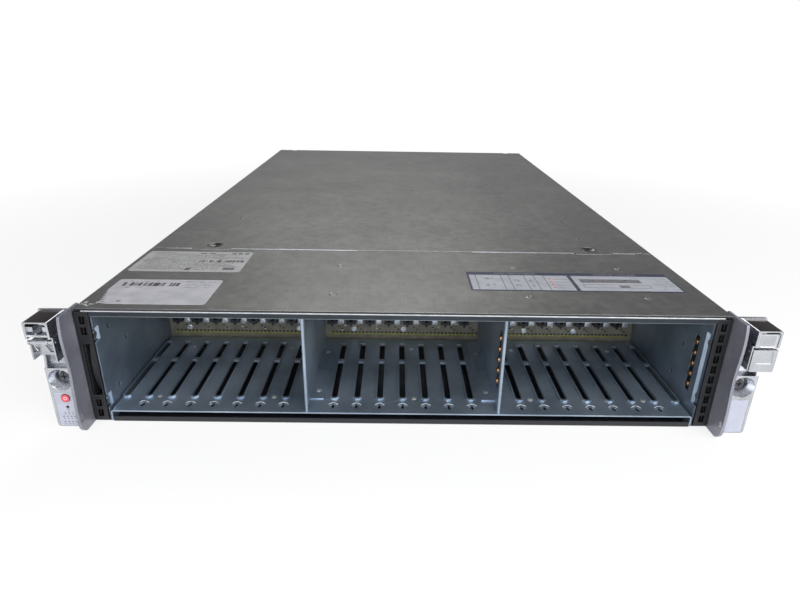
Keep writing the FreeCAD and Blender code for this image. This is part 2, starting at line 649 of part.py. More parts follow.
RIVET_RADIUS = 2.2
RIVET_RISE = 0.5
FLOOR_RIVET_BAYS = [(-1, 1), (-1, 6), (0, 4), (1, 1), (1, 6)]       # group and bay
FLOOR_RIVET_BACK = (19.7, 99.0)
FOOT_RIVET_BACK = (28.0, 90.0)


def rivets():
    """Flush rivet heads that hold the divider feet and the floor."""
    places = []
    middle = GROUP_PITCH / 2 - DIVIDER_SHEET / 2 - DIVIDER_FOOT / 2
    for side, y in itertools.product((-1, 1), FOOT_RIVET_BACK):
        places.append((side * middle, y, CAGE_FLOOR_TOP + CAGE_SHEET))
    for (group, bay), y in itertools.product(FLOOR_RIVET_BAYS, FLOOR_RIVET_BACK):
        places.append((group * GROUP_PITCH + (bay + 0.5 - BAYS_PER_GROUP / 2) * BAY_PITCH, y, CAGE_FLOOR_TOP))
    heads = [facet_rod((x, back(y), z), RIVET_RADIUS, RIVET_RISE, (0, 0, 1)) for x, y, z in places]
    save("floor_rivets", *heads)


CABLE_LOW = 22.0
CABLE_HIGH = BODY_HEIGHT - 26.5


def side_frames():
    """Black moulded frame in front of each tub wall, a ladder of square windows in its face."""
    inner = CAGE_WALL_X + 0.4
    low = TUB_SHEET + 0.2
    high = CAGE_PLATE_UNDER - 0.2
    body_outer = TUB_INNER - 0.2
    body_inner = WALL_OUTER + LUG_STEP + 0.4
    middle = (inner + FRAME_OUTER_X) / 2
    width, height = FRAME_WINDOW
    for side, name in ((-1, "left"), (1, "right")):
        face = box(inner, FRAME_OUTER_X, FRONT, back(FRAME_SHEET), low, high)
        web = box(body_inner, body_outer, back(FRAME_SHEET - 0.5), back(FRAME_DEPTH), low, high)
        hollow = box(body_inner + 1, body_outer - 1, back(FRAME_SHEET - 1), back(FRAME_DEPTH - 2),
                     low + 2, high - 2)
        tools = [hollow]
        pitch = (high - low - 2 * FRAME_END) / (FRAME_WINDOWS - 1)
        for i in range(FRAME_WINDOWS):
            z = low + FRAME_END + pitch * i
            if side < 0 and 2 <= i < FRAME_WINDOWS - 2:
                continue
            tools.append(box(middle - width / 2, middle + width / 2, FRONT - 1, back(FRAME_SHEET + 1),
                             z - height / 2, z + height / 2))
        if side < 0:
            tools.append(box(inner + 1.0, FRAME_OUTER_X - 2.2, FRONT - 1, back(FRAME_DEPTH + 1),
                             CABLE_LOW, CABLE_HIGH))
        frame = cut(fused([face, web]), tools)
        save("side_frame_%s" % name, mirrored(frame) if side < 0 else frame)


def panel_cable():
    """Flat cable of the control panel, bowed between the two ends of the left frame's opening."""
    middle = -(CAGE_WALL_X + FRAME_OUTER_X) / 2 - 0.2
    low = V(middle, back(8.0), CABLE_LOW + SEAT_GAP)
    high = V(middle, back(8.0), CABLE_HIGH - SEAT_GAP)
    bow = V(middle, back(4.2), (CABLE_LOW + CABLE_HIGH) / 2)
    thick = 0.9
    outer = Part.Arc(low, bow, high).toShape()
    step = V(0, thick, 0)
    inner = Part.Arc(low + step, bow + step, high + step).toShape()
    wire = Part.Wire([outer, Part.LineSegment(high, high + step).toShape(), inner,
                      Part.LineSegment(low + step, low).toShape()])
    face = Part.Face(wire)
    face.translate(V(-1.6, 0, 0))
    save("panel_cable", face.extrude(V(3.2, 0, 0)))


# ---------------------------------------------------------------- rack ears
PANEL_SHEET = 0.6
PANEL_INNER = EAR_FIN_X + EAR_FIN + 2.25
PANEL_OUTER = EAR_HALF - 1.8
PANEL_LOW = 1.2
PANEL_HIGH = RACK_SCREW_Z - DISH_RADIUS - 1.95
POWER_X = SCREW_X - 0.85
POWER_Z = PANEL_HIGH - 4.2
POWER_RADIUS = 2.9
POWER_TRAVEL = 0.8
RESET_X = SCREW_X - 0.75
RESET_Z = PANEL_HIGH - 11.5
RESET_RADIUS = 0.8
LIGHT_ROWS = [(0.80, 1), (0.62, 3), (0.39, 4), (0.10, 4)]     # share of the way up to the reset button, number
LIGHT_PITCH = 2.6


def fin_outline():
    """Front edge of the fin as seen from the side: a slack S that ends in a rounded nose."""
    edge = [(-13.6, BODY_HEIGHT - 0.4), (-15.6, 70.0), (-14.4, 47.0), (-15.6, 32.0), (-16.2, 9.0)]
    points = [V(EAR_FIN_X, back(y), z) for y, z in edge]
    curve = Part.BSplineCurve()
    curve.interpolate(points)
    nose = Part.Arc(points[-1], V(EAR_FIN_X, back(-14.2), 3.0), V(EAR_FIN_X, back(-10.0), 0.2)).toShape()
    corner_low = V(EAR_FIN_X, back(FIN_ROOT), 0.2)
    corner_high = V(EAR_FIN_X, back(FIN_ROOT), BODY_HEIGHT - 0.4)
    return Part.Wire([curve.toShape(), nose,
                      Part.LineSegment(V(EAR_FIN_X, back(-10.0), 0.2), corner_low).toShape(),
                      Part.LineSegment(corner_low, corner_high).toShape(),
                      Part.LineSegment(corner_high, points[0]).toShape()])


FLANGE_FRONT = back(EAR_FLANGE_BACK)
FLANGE_REAR = FLANGE_FRONT + EAR_FLANGE
PAD_FACE = back(-PAD_FRONT)
DISH_TOP = RACK_SCREW_Z + DISH_RADIUS + DISH_RIM


def ear(side):
    """Cast ear: side bracket, flange, fin, and a thick pad with the screw's deep dish."""
    fin = Part.Face(fin_outline()).extrude(V(EAR_FIN, 0, 0))
    bracket = box(TUB_HALF, EAR_FIN_X, back(FRAME_SEAT), back(EAR_SIDE_DEPTH), 3.0, EAR_SIDE_TOP)
    high = LATCH_TOP + 1.0
    flange = prism([(EAR_FIN_X, 0.2), (EAR_HALF, 0.2), (EAR_HALF, high), (EAR_FIN_X, high)],
                   "y", FLANGE_FRONT, FLANGE_REAR, [0, 2.2, 0, 0])
    inner = EAR_FIN_X + EAR_FIN - 0.5
    pad = prism([(inner, 0.6), (EAR_HALF, 0.6), (EAR_HALF, DISH_TOP), (inner, DISH_TOP)],
                "y", PAD_FACE, FLANGE_FRONT + 0.5, [0, 2.2, 0, 0])
    root = FLANGE_FRONT + 0.5
    wall = prism([(PAD_FACE, DISH_TOP - 2), (root, DISH_TOP - 2), (root, LATCH_BOTTOM),
                  (PAD_FACE + 1.5, LATCH_BOTTOM)], "x", EAR_HALF - 2.2, EAR_HALF - 0.6)
    web = prism([(PAD_FACE, DISH_TOP - 1), (root, DISH_TOP - 1), (root, LATCH_BOTTOM),
                 (FLANGE_FRONT - 1.5, LATCH_BOTTOM)], "x", inner, LATCH_INNER_X - LATCH_SWELL - 0.4)
    body = fused([fin, bracket, flange, pad, wall, web])
    cone = Part.makeCone(DISH_RADIUS, DISH_FLOOR_RADIUS, PAD_FRONT + EAR_FLANGE_BACK,
                         V(SCREW_X, PAD_FACE, RACK_SCREW_Z), V(0, 1, 0))
    bore = facet_rod((SCREW_X, PAD_FACE, RACK_SCREW_Z), SCREW_NECK + 0.5, FLANGE_REAR - PAD_FACE + 1,
                     (0, 1, 0), 12)
    nose_hole = rounded_box(EAR_FIN_X - 1, EAR_FIN_X + EAR_FIN + 0.2, back(-14.8), back(-12.2), 9.4, 14.6,
                            1.2, "x")
    recess = box(PANEL_INNER, PANEL_OUTER, PAD_FACE - 1, PAD_FACE + PANEL_SHEET, PANEL_LOW, PANEL_HIGH)
    well = facet_rod((POWER_X, PAD_FACE - 1, POWER_Z), POWER_RADIUS + 0.4, 6, (0, 1, 0), 16)
    tiny = facet_rod((RESET_X, PAD_FACE - 1, RESET_Z), RESET_RADIUS + 0.4, 6, (0, 1, 0))
    tools = [cone, bore, nose_hole, recess]
    if side < 0:
        tools += [well, tiny]
    body = cut(body, tools)
    return mirrored(body) if side < 0 else body


def control_panel():
    """Thin plate on the left ear's pad, with the power and reset buttons and the status lights."""
    plate = box(PANEL_INNER + 0.1, PANEL_OUTER - 0.1, PAD_FACE, PAD_FACE + PANEL_SHEET,
                PANEL_LOW + 0.1, PANEL_HIGH - 0.1)
    save("ear_plate_right", plate)
    tools = [facet_rod((POWER_X, PAD_FACE - 1, POWER_Z), POWER_RADIUS + 0.35, 3, (0, 1, 0), 16),
             facet_rod((RESET_X, PAD_FACE - 1, RESET_Z), RESET_RADIUS + 0.35, 3, (0, 1, 0))]
    lights = []
    for share, count in LIGHT_ROWS:
        z = PANEL_LOW + share * (RESET_Z - PANEL_LOW)
        for i in range(int(count)):
            x = RESET_X + (i - (count - 1) / 2) * LIGHT_PITCH
            lights.append(box(x - 0.45, x + 0.45, PAD_FACE - 0.05, PAD_FACE + PANEL_SHEET, z - 0.45, z + 0.45))
    tools += lights
    save("control_panel", mirrored(cut(plate, tools)))
    save("status_lights", *[mirrored(light) for light in lights])
    cap = facet_rod((POWER_X, PAD_FACE - POWER_TRAVEL, POWER_Z), POWER_RADIUS, PANEL_SHEET + POWER_TRAVEL,
                    (0, 1, 0), 16)
    save("power_button", mirrored(cap))
    pin = facet_rod((RESET_X, PAD_FACE + 0.1, RESET_Z), RESET_RADIUS, 1.8, (0, 1, 0))
    save("reset_button", mirrored(pin))


def rack_screws():
    """Captive screw in each dish: pan head with a cross recess, a neck in the flange, a thread behind it."""
    screws = []
    for side in (-1, 1):
        x = side * SCREW_X
        head = facet_rod((x, FLANGE_FRONT - 1.7, RACK_SCREW_Z), SCREW_HEAD, 1.7, (0, 1, 0), 12)
        crown = facet_rod((x, FLANGE_FRONT - 2.6, RACK_SCREW_Z), SCREW_HEAD - 0.6, 0.9, (0, 1, 0), 12)
        head = fused([head, crown])
        cross = [box(x - wide, x + wide, FLANGE_FRONT - 3, FLANGE_FRONT - 1.2,
                     RACK_SCREW_Z - tall, RACK_SCREW_Z + tall) for wide, tall in ((2.2, 0.45), (0.45, 2.2))]
        neck = facet_rod((x, FLANGE_FRONT, RACK_SCREW_Z), SCREW_NECK, EAR_FLANGE + SCREW_START, (0, 1, 0))
        thread = rod((x, FLANGE_REAR + SCREW_START, RACK_SCREW_Z), SCREW_RADIUS, SCREW_REACH, (0, 1, 0))
        screws.append(cut(fused([head, neck, thread]), cross))
    save("rack_screws", *screws)


LATCH_FACE = back(-LATCH_FRONT)
PIVOT_Y = back(-PIVOT_FRONT)
HOOD_LOW = PIVOT_Z + 3.2                # lower edge of the hood's front half
HINGE_ARM = 1.4
HINGE_NOSE = 1.2                        # radius of the hinge arms around the pin
CHEEK = 1.1                             # lever's side plates, outside the hinge arms
CHEEK_GAP = 0.3


def latch_housings():
    """Hood above each dish: closed on top, with two hinge arms, two lugs and a lock bar inside."""
    rear = FLANGE_FRONT
    x0 = LATCH_INNER_X
    x1 = EAR_HALF
    shell = prism([(x0, HOOD_LOW), (x1, HOOD_LOW), (x1, LATCH_TOP), (x0, LATCH_TOP)],
                  "y", LATCH_FACE, rear, [0, 0, 0.9, 0.9])
    hollow = prism([(x0 + LATCH_WALL, HOOD_LOW - 1), (x1 - LATCH_WALL, HOOD_LOW - 1),
                    (x1 - LATCH_WALL, LATCH_TOP - LATCH_WALL), (x0 + LATCH_WALL, LATCH_TOP - LATCH_WALL)],
                   "y", LATCH_FACE - 1, rear, [0, 0, 1.6, 1.6])
    hood = shell.cut(hollow)
    slot = box(x0 + 5.1, x1 - 0.9 - LATCH_WALL, LATCH_FACE - 1, LATCH_FACE + 3.0,
               LATCH_TOP - LATCH_WALL - 0.2, LATCH_TOP - LATCH_WALL + 0.5)
    wall_x = x0 - LATCH_SWELL
    inner_wall = box(wall_x, wall_x + LATCH_SWELL - 0.4, LATCH_FACE + 0.5, rear, LATCH_BOTTOM, HOOD_LOW + 1.0)
    jog = box(wall_x, x0 + LATCH_WALL, LATCH_FACE + 0.5, rear, HOOD_LOW, HOOD_LOW + 1.0)
    wall_front = LATCH_FACE + 9.6
    outer_wall = box(x1 - LATCH_WALL, x1, wall_front, rear, LATCH_BOTTOM, HOOD_LOW + 0.5)
    pieces = [hood, inner_wall, jog, outer_wall]
    arms = [(x0 + LATCH_WALL, x0 + LATCH_WALL + HINGE_ARM), (x1 - LATCH_WALL - HINGE_ARM, x1 - LATCH_WALL)]
    for a, b in arms:
        pieces.append(box(a, b, PIVOT_Y, rear, PIVOT_Z - HINGE_NOSE, PIVOT_Z + HINGE_NOSE))
        pieces.append(facet_rod((a, PIVOT_Y, PIVOT_Z), HINGE_NOSE, b - a, (1, 0, 0), 12))
    pieces.append(box(wall_x, x0 + LATCH_WALL + 0.2, wall_front, rear,
                      PIVOT_Z - HINGE_NOSE, PIVOT_Z + HINGE_NOSE))
    lug_top = LATCH_TOP - LATCH_WALL - 2.6
    for a in (x0 + LATCH_WALL, x1 - LATCH_WALL - 3.4):
        pieces.append(box(a, a + 3.4, LATCH_FACE + 1.9, rear, lug_top - 3.2, lug_top))
    bore = rod((x0 - 3, PIVOT_Y, PIVOT_Z), PIVOT_PIN + PIN_GAP / 2, 30, (1, 0, 0))
    housing = cut(fused(pieces), [bore, slot])
    save("latch_housing_right", housing)
    save("latch_housing_left", mirrored(housing))
    bar = facet_rod((x0 + LATCH_WALL, PIVOT_Y + 0.5, HOOD_LOW + 1.2), 1.0, x1 - x0 - 2 * LATCH_WALL,
                    (1, 0, 0), 10)
    save("lock_bars", bar, mirrored(bar))
    pin = rod((x0 + 0.1, PIVOT_Y, PIVOT_Z), PIVOT_PIN, x1 - x0 - 0.2, (1, 0, 0))
    save("lever_pins", pin, mirrored(pin))
    a = x0 + LATCH_WALL + SEAT_GAP
    b = x1 - LATCH_WALL - SEAT_GAP
    plate = box(a, b, LATCH_FACE + 0.2, LATCH_FACE + 1.4, HOOD_LOW - 0.1, LATCH_TOP - LATCH_WALL - 0.9)
    window = rounded_box(x0 + 3.7, x1 - 2.9, LATCH_FACE - 1, LATCH_FACE + 0.6, HOOD_LOW + 0.5,
                         LATCH_TOP - LATCH_WALL - 1.5, 0.8, "y")
    tongue = box(a + 3.8, b - 3.8, LATCH_FACE + 1.2, LATCH_FACE + 4.0, lug_top - 1.0, lug_top + 0.6)
    save("latch_cover_right", fused([plate.cut(window), tongue]))


def release_lever(faced):
    """Finger lever on the pin: two cheeks, a barrel and a tilted finger plate, with or without its face."""
    x0 = LATCH_INNER_X
    x1 = EAR_HALF
    tip = LEVER_BOTTOM + 1.4
    front = PIVOT_Y + 0.3
    side_view = [(front, PIVOT_Z), (front, tip), (front + 6.5, tip), (front + 1.5, PIVOT_Z - 1.9),
                 (front + 1.2, PIVOT_Z)]
    cheeks = []
    for a in (x0, x1 - CHEEK):
        cheeks.append(prism(side_view, "x", a, a + CHEEK))
        cheeks.append(facet_rod((a, PIVOT_Y, PIVOT_Z), PIVOT_BARREL, CHEEK, (1, 0, 0), 12))
    arm_inner = LATCH_WALL + HINGE_ARM + CHEEK_GAP
    barrel = facet_rod((x0 + arm_inner, PIVOT_Y, PIVOT_Z), PIVOT_BARREL, x1 - x0 - 2 * arm_inner, (1, 0, 0), 12)
    left = x0 + 5.5
    right = x1 - arm_inner
    high = PIVOT_Z - 0.2
    low = LEVER_BOTTOM + 5.0
    finger = prism([(PIVOT_Y - 1.4, high), (PIVOT_Y - 1.4 + LEVER_TILT, low), (PIVOT_Y + LEVER_TILT, low),
                    (PIVOT_Y, high)], "x", left, right)
    cross = box(x0, x1, PIVOT_Y + LEVER_TILT - 1.6, PIVOT_Y + LEVER_TILT, low - 1.5, low + 0.2)
    pieces = cheeks + [barrel, finger, cross]
    bore = rod((x0 - 1, PIVOT_Y, PIVOT_Z), PIVOT_PIN + PIN_GAP, x1 - x0 + 2, (1, 0, 0))
    if faced:
        shoulder = PIVOT_Z - 1.8
        top = PIVOT_Z + 1.6
        pieces.append(prism([(x0, LEVER_BOTTOM), (x1, LEVER_BOTTOM), (x1, shoulder), (x0, shoulder)],
                            "y", LATCH_FACE, LATCH_FACE + LEVER_SHEET, [1.4, 1.4, 0, 0]))
        pieces.append(box(x0, x1, LATCH_FACE, LATCH_FACE + 0.8, shoulder - 0.5, top))
        for a in (x0, x1 - CHEEK):
            pieces.append(box(a, a + CHEEK, LATCH_FACE + 0.5, front + 0.5, tip, shoulder))
    lever = fused(pieces).cut(bore)
    if faced:
        low = LEVER_BOTTOM + 5.9
        lever = lever.cut(prism([(x0 + 3.5, low), (x1 - 2.1, low), (x1 - 3.1, top - 0.6), (x0 + 4.7, top - 0.6)],
                                "y", LATCH_FACE - 1, LATCH_FACE + 0.4))
    return lever


# ---------------------------------------------------------------- cooling
def fan_places():
    return [FAN_MIDDLE_X + (i - (FAN_COUNT - 1) / 2) * FAN_PITCH for i in range(FAN_COUNT)]


FAN_LOW = TUB_SHEET
FAN_MIDDLE_Z = FAN_LOW + FAN_SIZE / 2
SHAFT_RADIUS = 2.0


def fans():
    """Square frames with struts and a motor seat, and the bladed rotors that turn in them."""
    frames = []
    for index, x in enumerate(fan_places()):
        y0 = back(FAN_BACK)
        half = FAN_SIZE / 2
        shell = box(x - half, x + half, y0, y0 + FAN_DEPTH, FAN_LOW, FAN_LOW + FAN_SIZE)
        bore = facet_rod((x, y0 - 1, FAN_MIDDLE_Z), FAN_BORE, FAN_DEPTH + 2, (0, 1, 0), 20)
        seat = facet_rod((x, y0 + FAN_DEPTH - 4, FAN_MIDDLE_Z), FAN_HUB, 4, (0, 1, 0), 12)
        struts = []
        for k in range(4):
            arm = box(FAN_HUB - 2, FAN_BORE + 1, -1.4, 1.4, -1.2, 1.2)
            arm.rotate(V(0, 0, 0), V(1, 0, 0), 90)
            arm.rotate(V(0, 0, 0), V(0, 1, 0), 45 + 90 * k)
            arm.translate(V(x, y0 + FAN_DEPTH - 2, FAN_MIDDLE_Z))
            struts.append(arm)
        shaft_hole = rod((x, y0 + FAN_DEPTH - 5, FAN_MIDDLE_Z), SHAFT_RADIUS + PIN_GAP, 6, (0, 1, 0))
        frames.append(fused([shell.cut(bore), seat] + struts).cut(shaft_hole))
        save("impeller_%d" % (index + 1), impeller(x, y0))
    save("fan_frames", *frames)


def impeller(x, y0):
    """Cup hub on a shaft with pitched blades."""
    hub_front = y0 + 3
    hub_rear = y0 + FAN_DEPTH - 5
    hub = facet_rod((x, hub_front, FAN_MIDDLE_Z), FAN_HUB, hub_rear - hub_front, (0, 1, 0), 2 * FAN_BLADES)
    shaft = rod((x, hub_rear - 1, FAN_MIDDLE_Z), SHAFT_RADIUS, 5.5, (0, 1, 0))
    tip = FAN_BORE - FAN_BLADE_GAP
    blades = []
    half = (hub_rear - hub_front) * 0.43
    middle_y = (hub_rear + hub_front) / 2
    lean = 8.0
    for k in range(FAN_BLADES):
        corners = [(-lean - 0.7, -half), (-lean + 0.7, -half), (lean + 0.7, half), (lean - 0.7, half)]
        blade = prism(corners, "z", FAN_HUB - 2.5, tip - 1.5)
        blade.rotate(V(0, 0, 0), V(0, 1, 0), 360.0 / FAN_BLADES * k)
        blade.translate(V(x, middle_y, FAN_MIDDLE_Z))
        blades.append(blade)
    return fused([hub, shaft] + blades)


def fan_wall():
    """Upright sheet in front of the fans with a round opening for each, on a folded foot."""
    y1 = back(FAN_BACK)
    half = CAGE_WALL_X
    path = [(y1, WALL_TOP - 2), (y1, TUB_SHEET), (y1 - FAN_WALL_FOOT, TUB_SHEET)]
    sheet = strip(path[::-1], CAGE_SHEET, "x", -half, half)
    holes = [facet_rod((x, y1 - 3, FAN_MIDDLE_Z), FAN_BORE, 6, (0, 1, 0), 20) for x in fan_places()]
    reach = FAN_SIZE / 2 + FAN_RAIL_GAP
    rails = [box(x - 1.0, x + 1.0, y1, y1 + FAN_DEPTH, TUB_SHEET, FAN_SIZE / 2)
             for x in (fan_places()[0] - reach, fan_places()[-1] + reach)]
    save("fan_wall", cut(fused([sheet] + rails), holes))


SHROUD_SHEET = 1.4


def air_shroud():
    """Hood that leads the air from the fans over the heat sinks and memory."""
    y0 = back(FAN_BACK + FAN_DEPTH + 2)
    y1 = back(SINK_BACK + 44)
    x0 = BOARD_LEFT_X + 2.0
    x1 = BOARD_LEFT_X + BOARD_WIDTH - 2.0
    low = TUB_SHEET + BOARD_STANDOFF + BOARD_SHEET + 1.0
    path = [(x1, low), (x1, SHROUD_TOP), (x0, SHROUD_TOP), (x0, low)]
    hood = strip(path, SHROUD_SHEET, "y", y0, y1, 2.0)
    feet = [box(x, x + SHROUD_SHEET, y0 + 8, y0 + 40, TUB_SHEET, low + 1) for x in (x0, x1 - SHROUD_SHEET)]
    save("air_shroud", fused([hood] + feet))


# ---------------------------------------------------------------- electronics
def main_board():
    """Board on nine posts."""
    z0 = TUB_SHEET + BOARD_STANDOFF
    y1 = PANEL_FACE - BOARD_INSET
    y0 = y1 - BOARD_DEPTH
    x1 = BOARD_LEFT_X + BOARD_WIDTH
    save("main_board", box(BOARD_LEFT_X, x1, y0, y1, z0, z0 + BOARD_SHEET))
    posts = []
    for x in (BOARD_LEFT_X + 8, BOARD_LEFT_X + BOARD_WIDTH / 2, x1 - 8):
        for y in (y0 + 8, (y0 + y1) / 2, y1 - 8):
            posts.append(facet_rod((x, y, TUB_SHEET), 3.0, BOARD_STANDOFF, (0, 0, 1), 6))
    save("board_posts", *posts)


BOARD_TOP = TUB_SHEET + BOARD_STANDOFF + BOARD_SHEET
SOCKET_HEIGHT = 5.0
SINK_HEIGHT = SHROUD_TOP - SHROUD_SHEET - SINK_HEADROOM - BOARD_TOP - SOCKET_HEIGHT


def heat_sinks():
    """Finned block on a socket frame over each processor."""
    sinks = []
    sockets = []
    half = SINK_SIZE / 2
    y = back(SINK_BACK)
    for x in SINK_X:
        seat = half - 12.0
        sockets.append(box(x - seat, x + seat, y - seat - 2, y + seat + 2,
                           BOARD_TOP, BOARD_TOP + SOCKET_HEIGHT))
        base_z = BOARD_TOP + SOCKET_HEIGHT
        block = box(x - half, x + half, y - half, y + half, base_z, base_z + SINK_HEIGHT)
        pitch = SINK_SIZE / SINK_FINS
        grooves = [box(x - half + pitch * i + 1.0, x - half + pitch * (i + 1), y - half - 1, y + half + 1,
                       base_z + 5.0, base_z + SINK_HEIGHT + 1) for i in range(SINK_FINS - 1)]
        last = x + half - pitch + 1.0
        grooves.append(box(last, x + half - 1.0, y - half - 1, y + half + 1,
                           base_z + 5.0, base_z + SINK_HEIGHT + 1))
        sinks.append(cut(block, grooves))
    save("heat_sinks", *sinks)
    return sockets


def memory():
    """Upright modules in their sockets, both sides of each processor."""
    modules = []
    sockets = []
    y0 = back(SINK_BACK) - MODULE_LENGTH / 2
    y1 = y0 + MODULE_LENGTH
    for x in SINK_X:
        for side in (-1, 1):
            for k in range(MODULES_PER_SIDE):
                middle = x + side * (SINK_SIZE / 2 + 8.0 + MODULE_PITCH * k)
                socket = box(middle - 3.2, middle + 3.2, y0 - 4, y1 + 4, BOARD_TOP, BOARD_TOP + 8.0)
                groove = box(middle - 0.7, middle + 0.7, y0, y1, BOARD_TOP + 2.0, BOARD_TOP + 9.0)
                sockets.append(socket.cut(groove))
                modules.append(box(middle - 0.65, middle + 0.65, y0 + 0.1, y1 - 0.1, BOARD_TOP + 2.0,
                                   BOARD_TOP + 2.0 + MODULE_HEIGHT))
    save("memory_modules", *modules)
    save("memory_sockets", *sockets)


def riser_x(k):
    return RISER_FIRST_X - RISER_PITCH * k


CARD_SLOT_LENGTH = 89.0
CARD_SLOT_INSET = 51.0      # card socket from the board's rear edge
CARD_SLOT_HEIGHT = 11.0
CARD_SLOT_END = 3.0


def expansion():
    """Sockets on the board and the plain covers that close the card openings."""
    y1 = PANEL_FACE - BOARD_INSET - CARD_SLOT_INSET
    y0 = y1 - CARD_SLOT_LENGTH
    top = BOARD_TOP + CARD_SLOT_HEIGHT
    slots = []
    for k in range(0, RISER_COUNT - 1, 2):
        x = riser_x(k)
        groove = box(x - 0.9, x + 0.9, y0 + CARD_SLOT_END, y1 - CARD_SLOT_END,
                     BOARD_TOP + CARD_SLOT_END, top + 1)
        slots.append(box(x - 3.8, x + 3.8, y0, y1, BOARD_TOP, top).cut(groove))
    save("board_sockets", *(heat_sinks() + slots))
    covers = []
    inner = PANEL_FACE - CAGE_SHEET
    high = COVER_UNDER - 4.0
    for k in range(RISER_COUNT):
        x = riser_x(k)
        path = [(inner, 6.0), (inner, high), (inner - RISER_TAB, high)]
        covers.append(strip(path, 0.9, "x", x - RISER_COVER / 2, x + RISER_COVER / 2, 0))
    save("slot_covers", *covers)


PORT_FACE = PANEL_FACE + 0.6
PORT_DEPTH = 24.0
PORT_MOUTH = 9.0
PORT_RIM = 1.4
PORTS = [(4.0, 18.0, 33.0), (24.0, 15.0, 30.0), (41.0, 31.0, 12.5), (74.0, 31.0, 12.5),
         (107.0, 17.0, 14.0), (126.0, 17.0, 14.0)]        # place from the window's edge, width, height


def port_mouth(offset, width, height, depth, reach):
    """The space a plug goes into."""
    x0 = PORT_LEFT_X + offset
    return (x0 + PORT_RIM, x0 + width - PORT_RIM, PORT_FACE - depth, PORT_FACE + reach,
            BOARD_TOP + PORT_RIM, BOARD_TOP + height - PORT_RIM)


def ports():
    """Row of connector shells that fills the port window."""
    shells = []
    for offset, width, height in PORTS:
        x0 = PORT_LEFT_X + offset
        shell = box(x0, x0 + width, PORT_FACE - PORT_DEPTH, PORT_FACE, BOARD_TOP, BOARD_TOP + height)
        shells.append(shell.cut(box(*port_mouth(offset, width, height, PORT_MOUTH, 1.0))))
    save("port_shells", *shells)


VENT_WIDTH = 4.0
VENT_PITCH = 7.2


def rear_panel():
    """Sheet that closes the rear beside the supplies: port window, card slots and vents."""
    y1 = PANEL_FACE
    y0 = y1 - CAGE_SHEET
    x1 = SUPPLY_INNER_X - SLIDE_GAP - CAGE_SHEET
    panel = box(SEAT_GAP - TUB_INNER, x1, y0, y1, TUB_SHEET + SEAT_GAP, WALL_TOP)
    window_low = BOARD_TOP - 3.0
    tools = [box(PORT_LEFT_X, PORT_LEFT_X + PORT_WIDTH, y0 - 1, y1 + 1, window_low, window_low + PORT_HEIGHT)]
    for k in range(RISER_COUNT):
        x = riser_x(k)
        tools.append(box(x - 6.0, x + 6.0, y0 - 1, y1 + 1, 12.0, BODY_HEIGHT - 10.0))
    count = int((PORT_WIDTH - 6) / VENT_PITCH)
    for i in range(count):
        x = PORT_LEFT_X + 5.0 + VENT_PITCH * i
        tools.append(box(x, x + VENT_WIDTH, y0 - 1, y1 + 1, window_low + PORT_HEIGHT + 6, WALL_TOP - 7))
    save("rear_panel", cut(panel, tools))


def supply_low(index):
    """Underside of a supply: the lower one runs on the tub, the upper one on the cage's shelf."""
    return TUB_SHEET + SLIDE_GAP + index * (SUPPLY_HEIGHT + 2 * SLIDE_GAP + CAGE_SHEET)


def supply_cage():
    """Wall, shelf and roof that guide the two supplies."""
    y0 = PANEL_FACE - SUPPLY_DEPTH - 12.0
    x0 = SUPPLY_INNER_X - SLIDE_GAP - CAGE_SHEET
    roof_z = supply_low(1) + SUPPLY_HEIGHT + SLIDE_GAP
    outer = TUB_INNER - SEAT_GAP
    path = [(outer, roof_z), (x0 + CAGE_SHEET, roof_z), (x0 + CAGE_SHEET, TUB_SHEET)]
    wall = strip(path[::-1], CAGE_SHEET, "y", y0, PANEL_FACE, 0.1)
    shelf_z = supply_low(1) - SLIDE_GAP - CAGE_SHEET
    shelf = box(x0 + CAGE_SHEET, outer, y0, PANEL_FACE, shelf_z, shelf_z + CAGE_SHEET)
    stop = box(x0 + CAGE_SHEET, outer, y0, y0 + CAGE_SHEET, TUB_SHEET + SEAT_GAP, roof_z)
    save("supply_cage", fused([wall, shelf, stop]))


HANDLE_REACH = 26.0
HANDLE_RISE = SUPPLY_HEIGHT - 10.0
GRILLE_RADIUS = SUPPLY_HEIGHT / 2 - 2.5


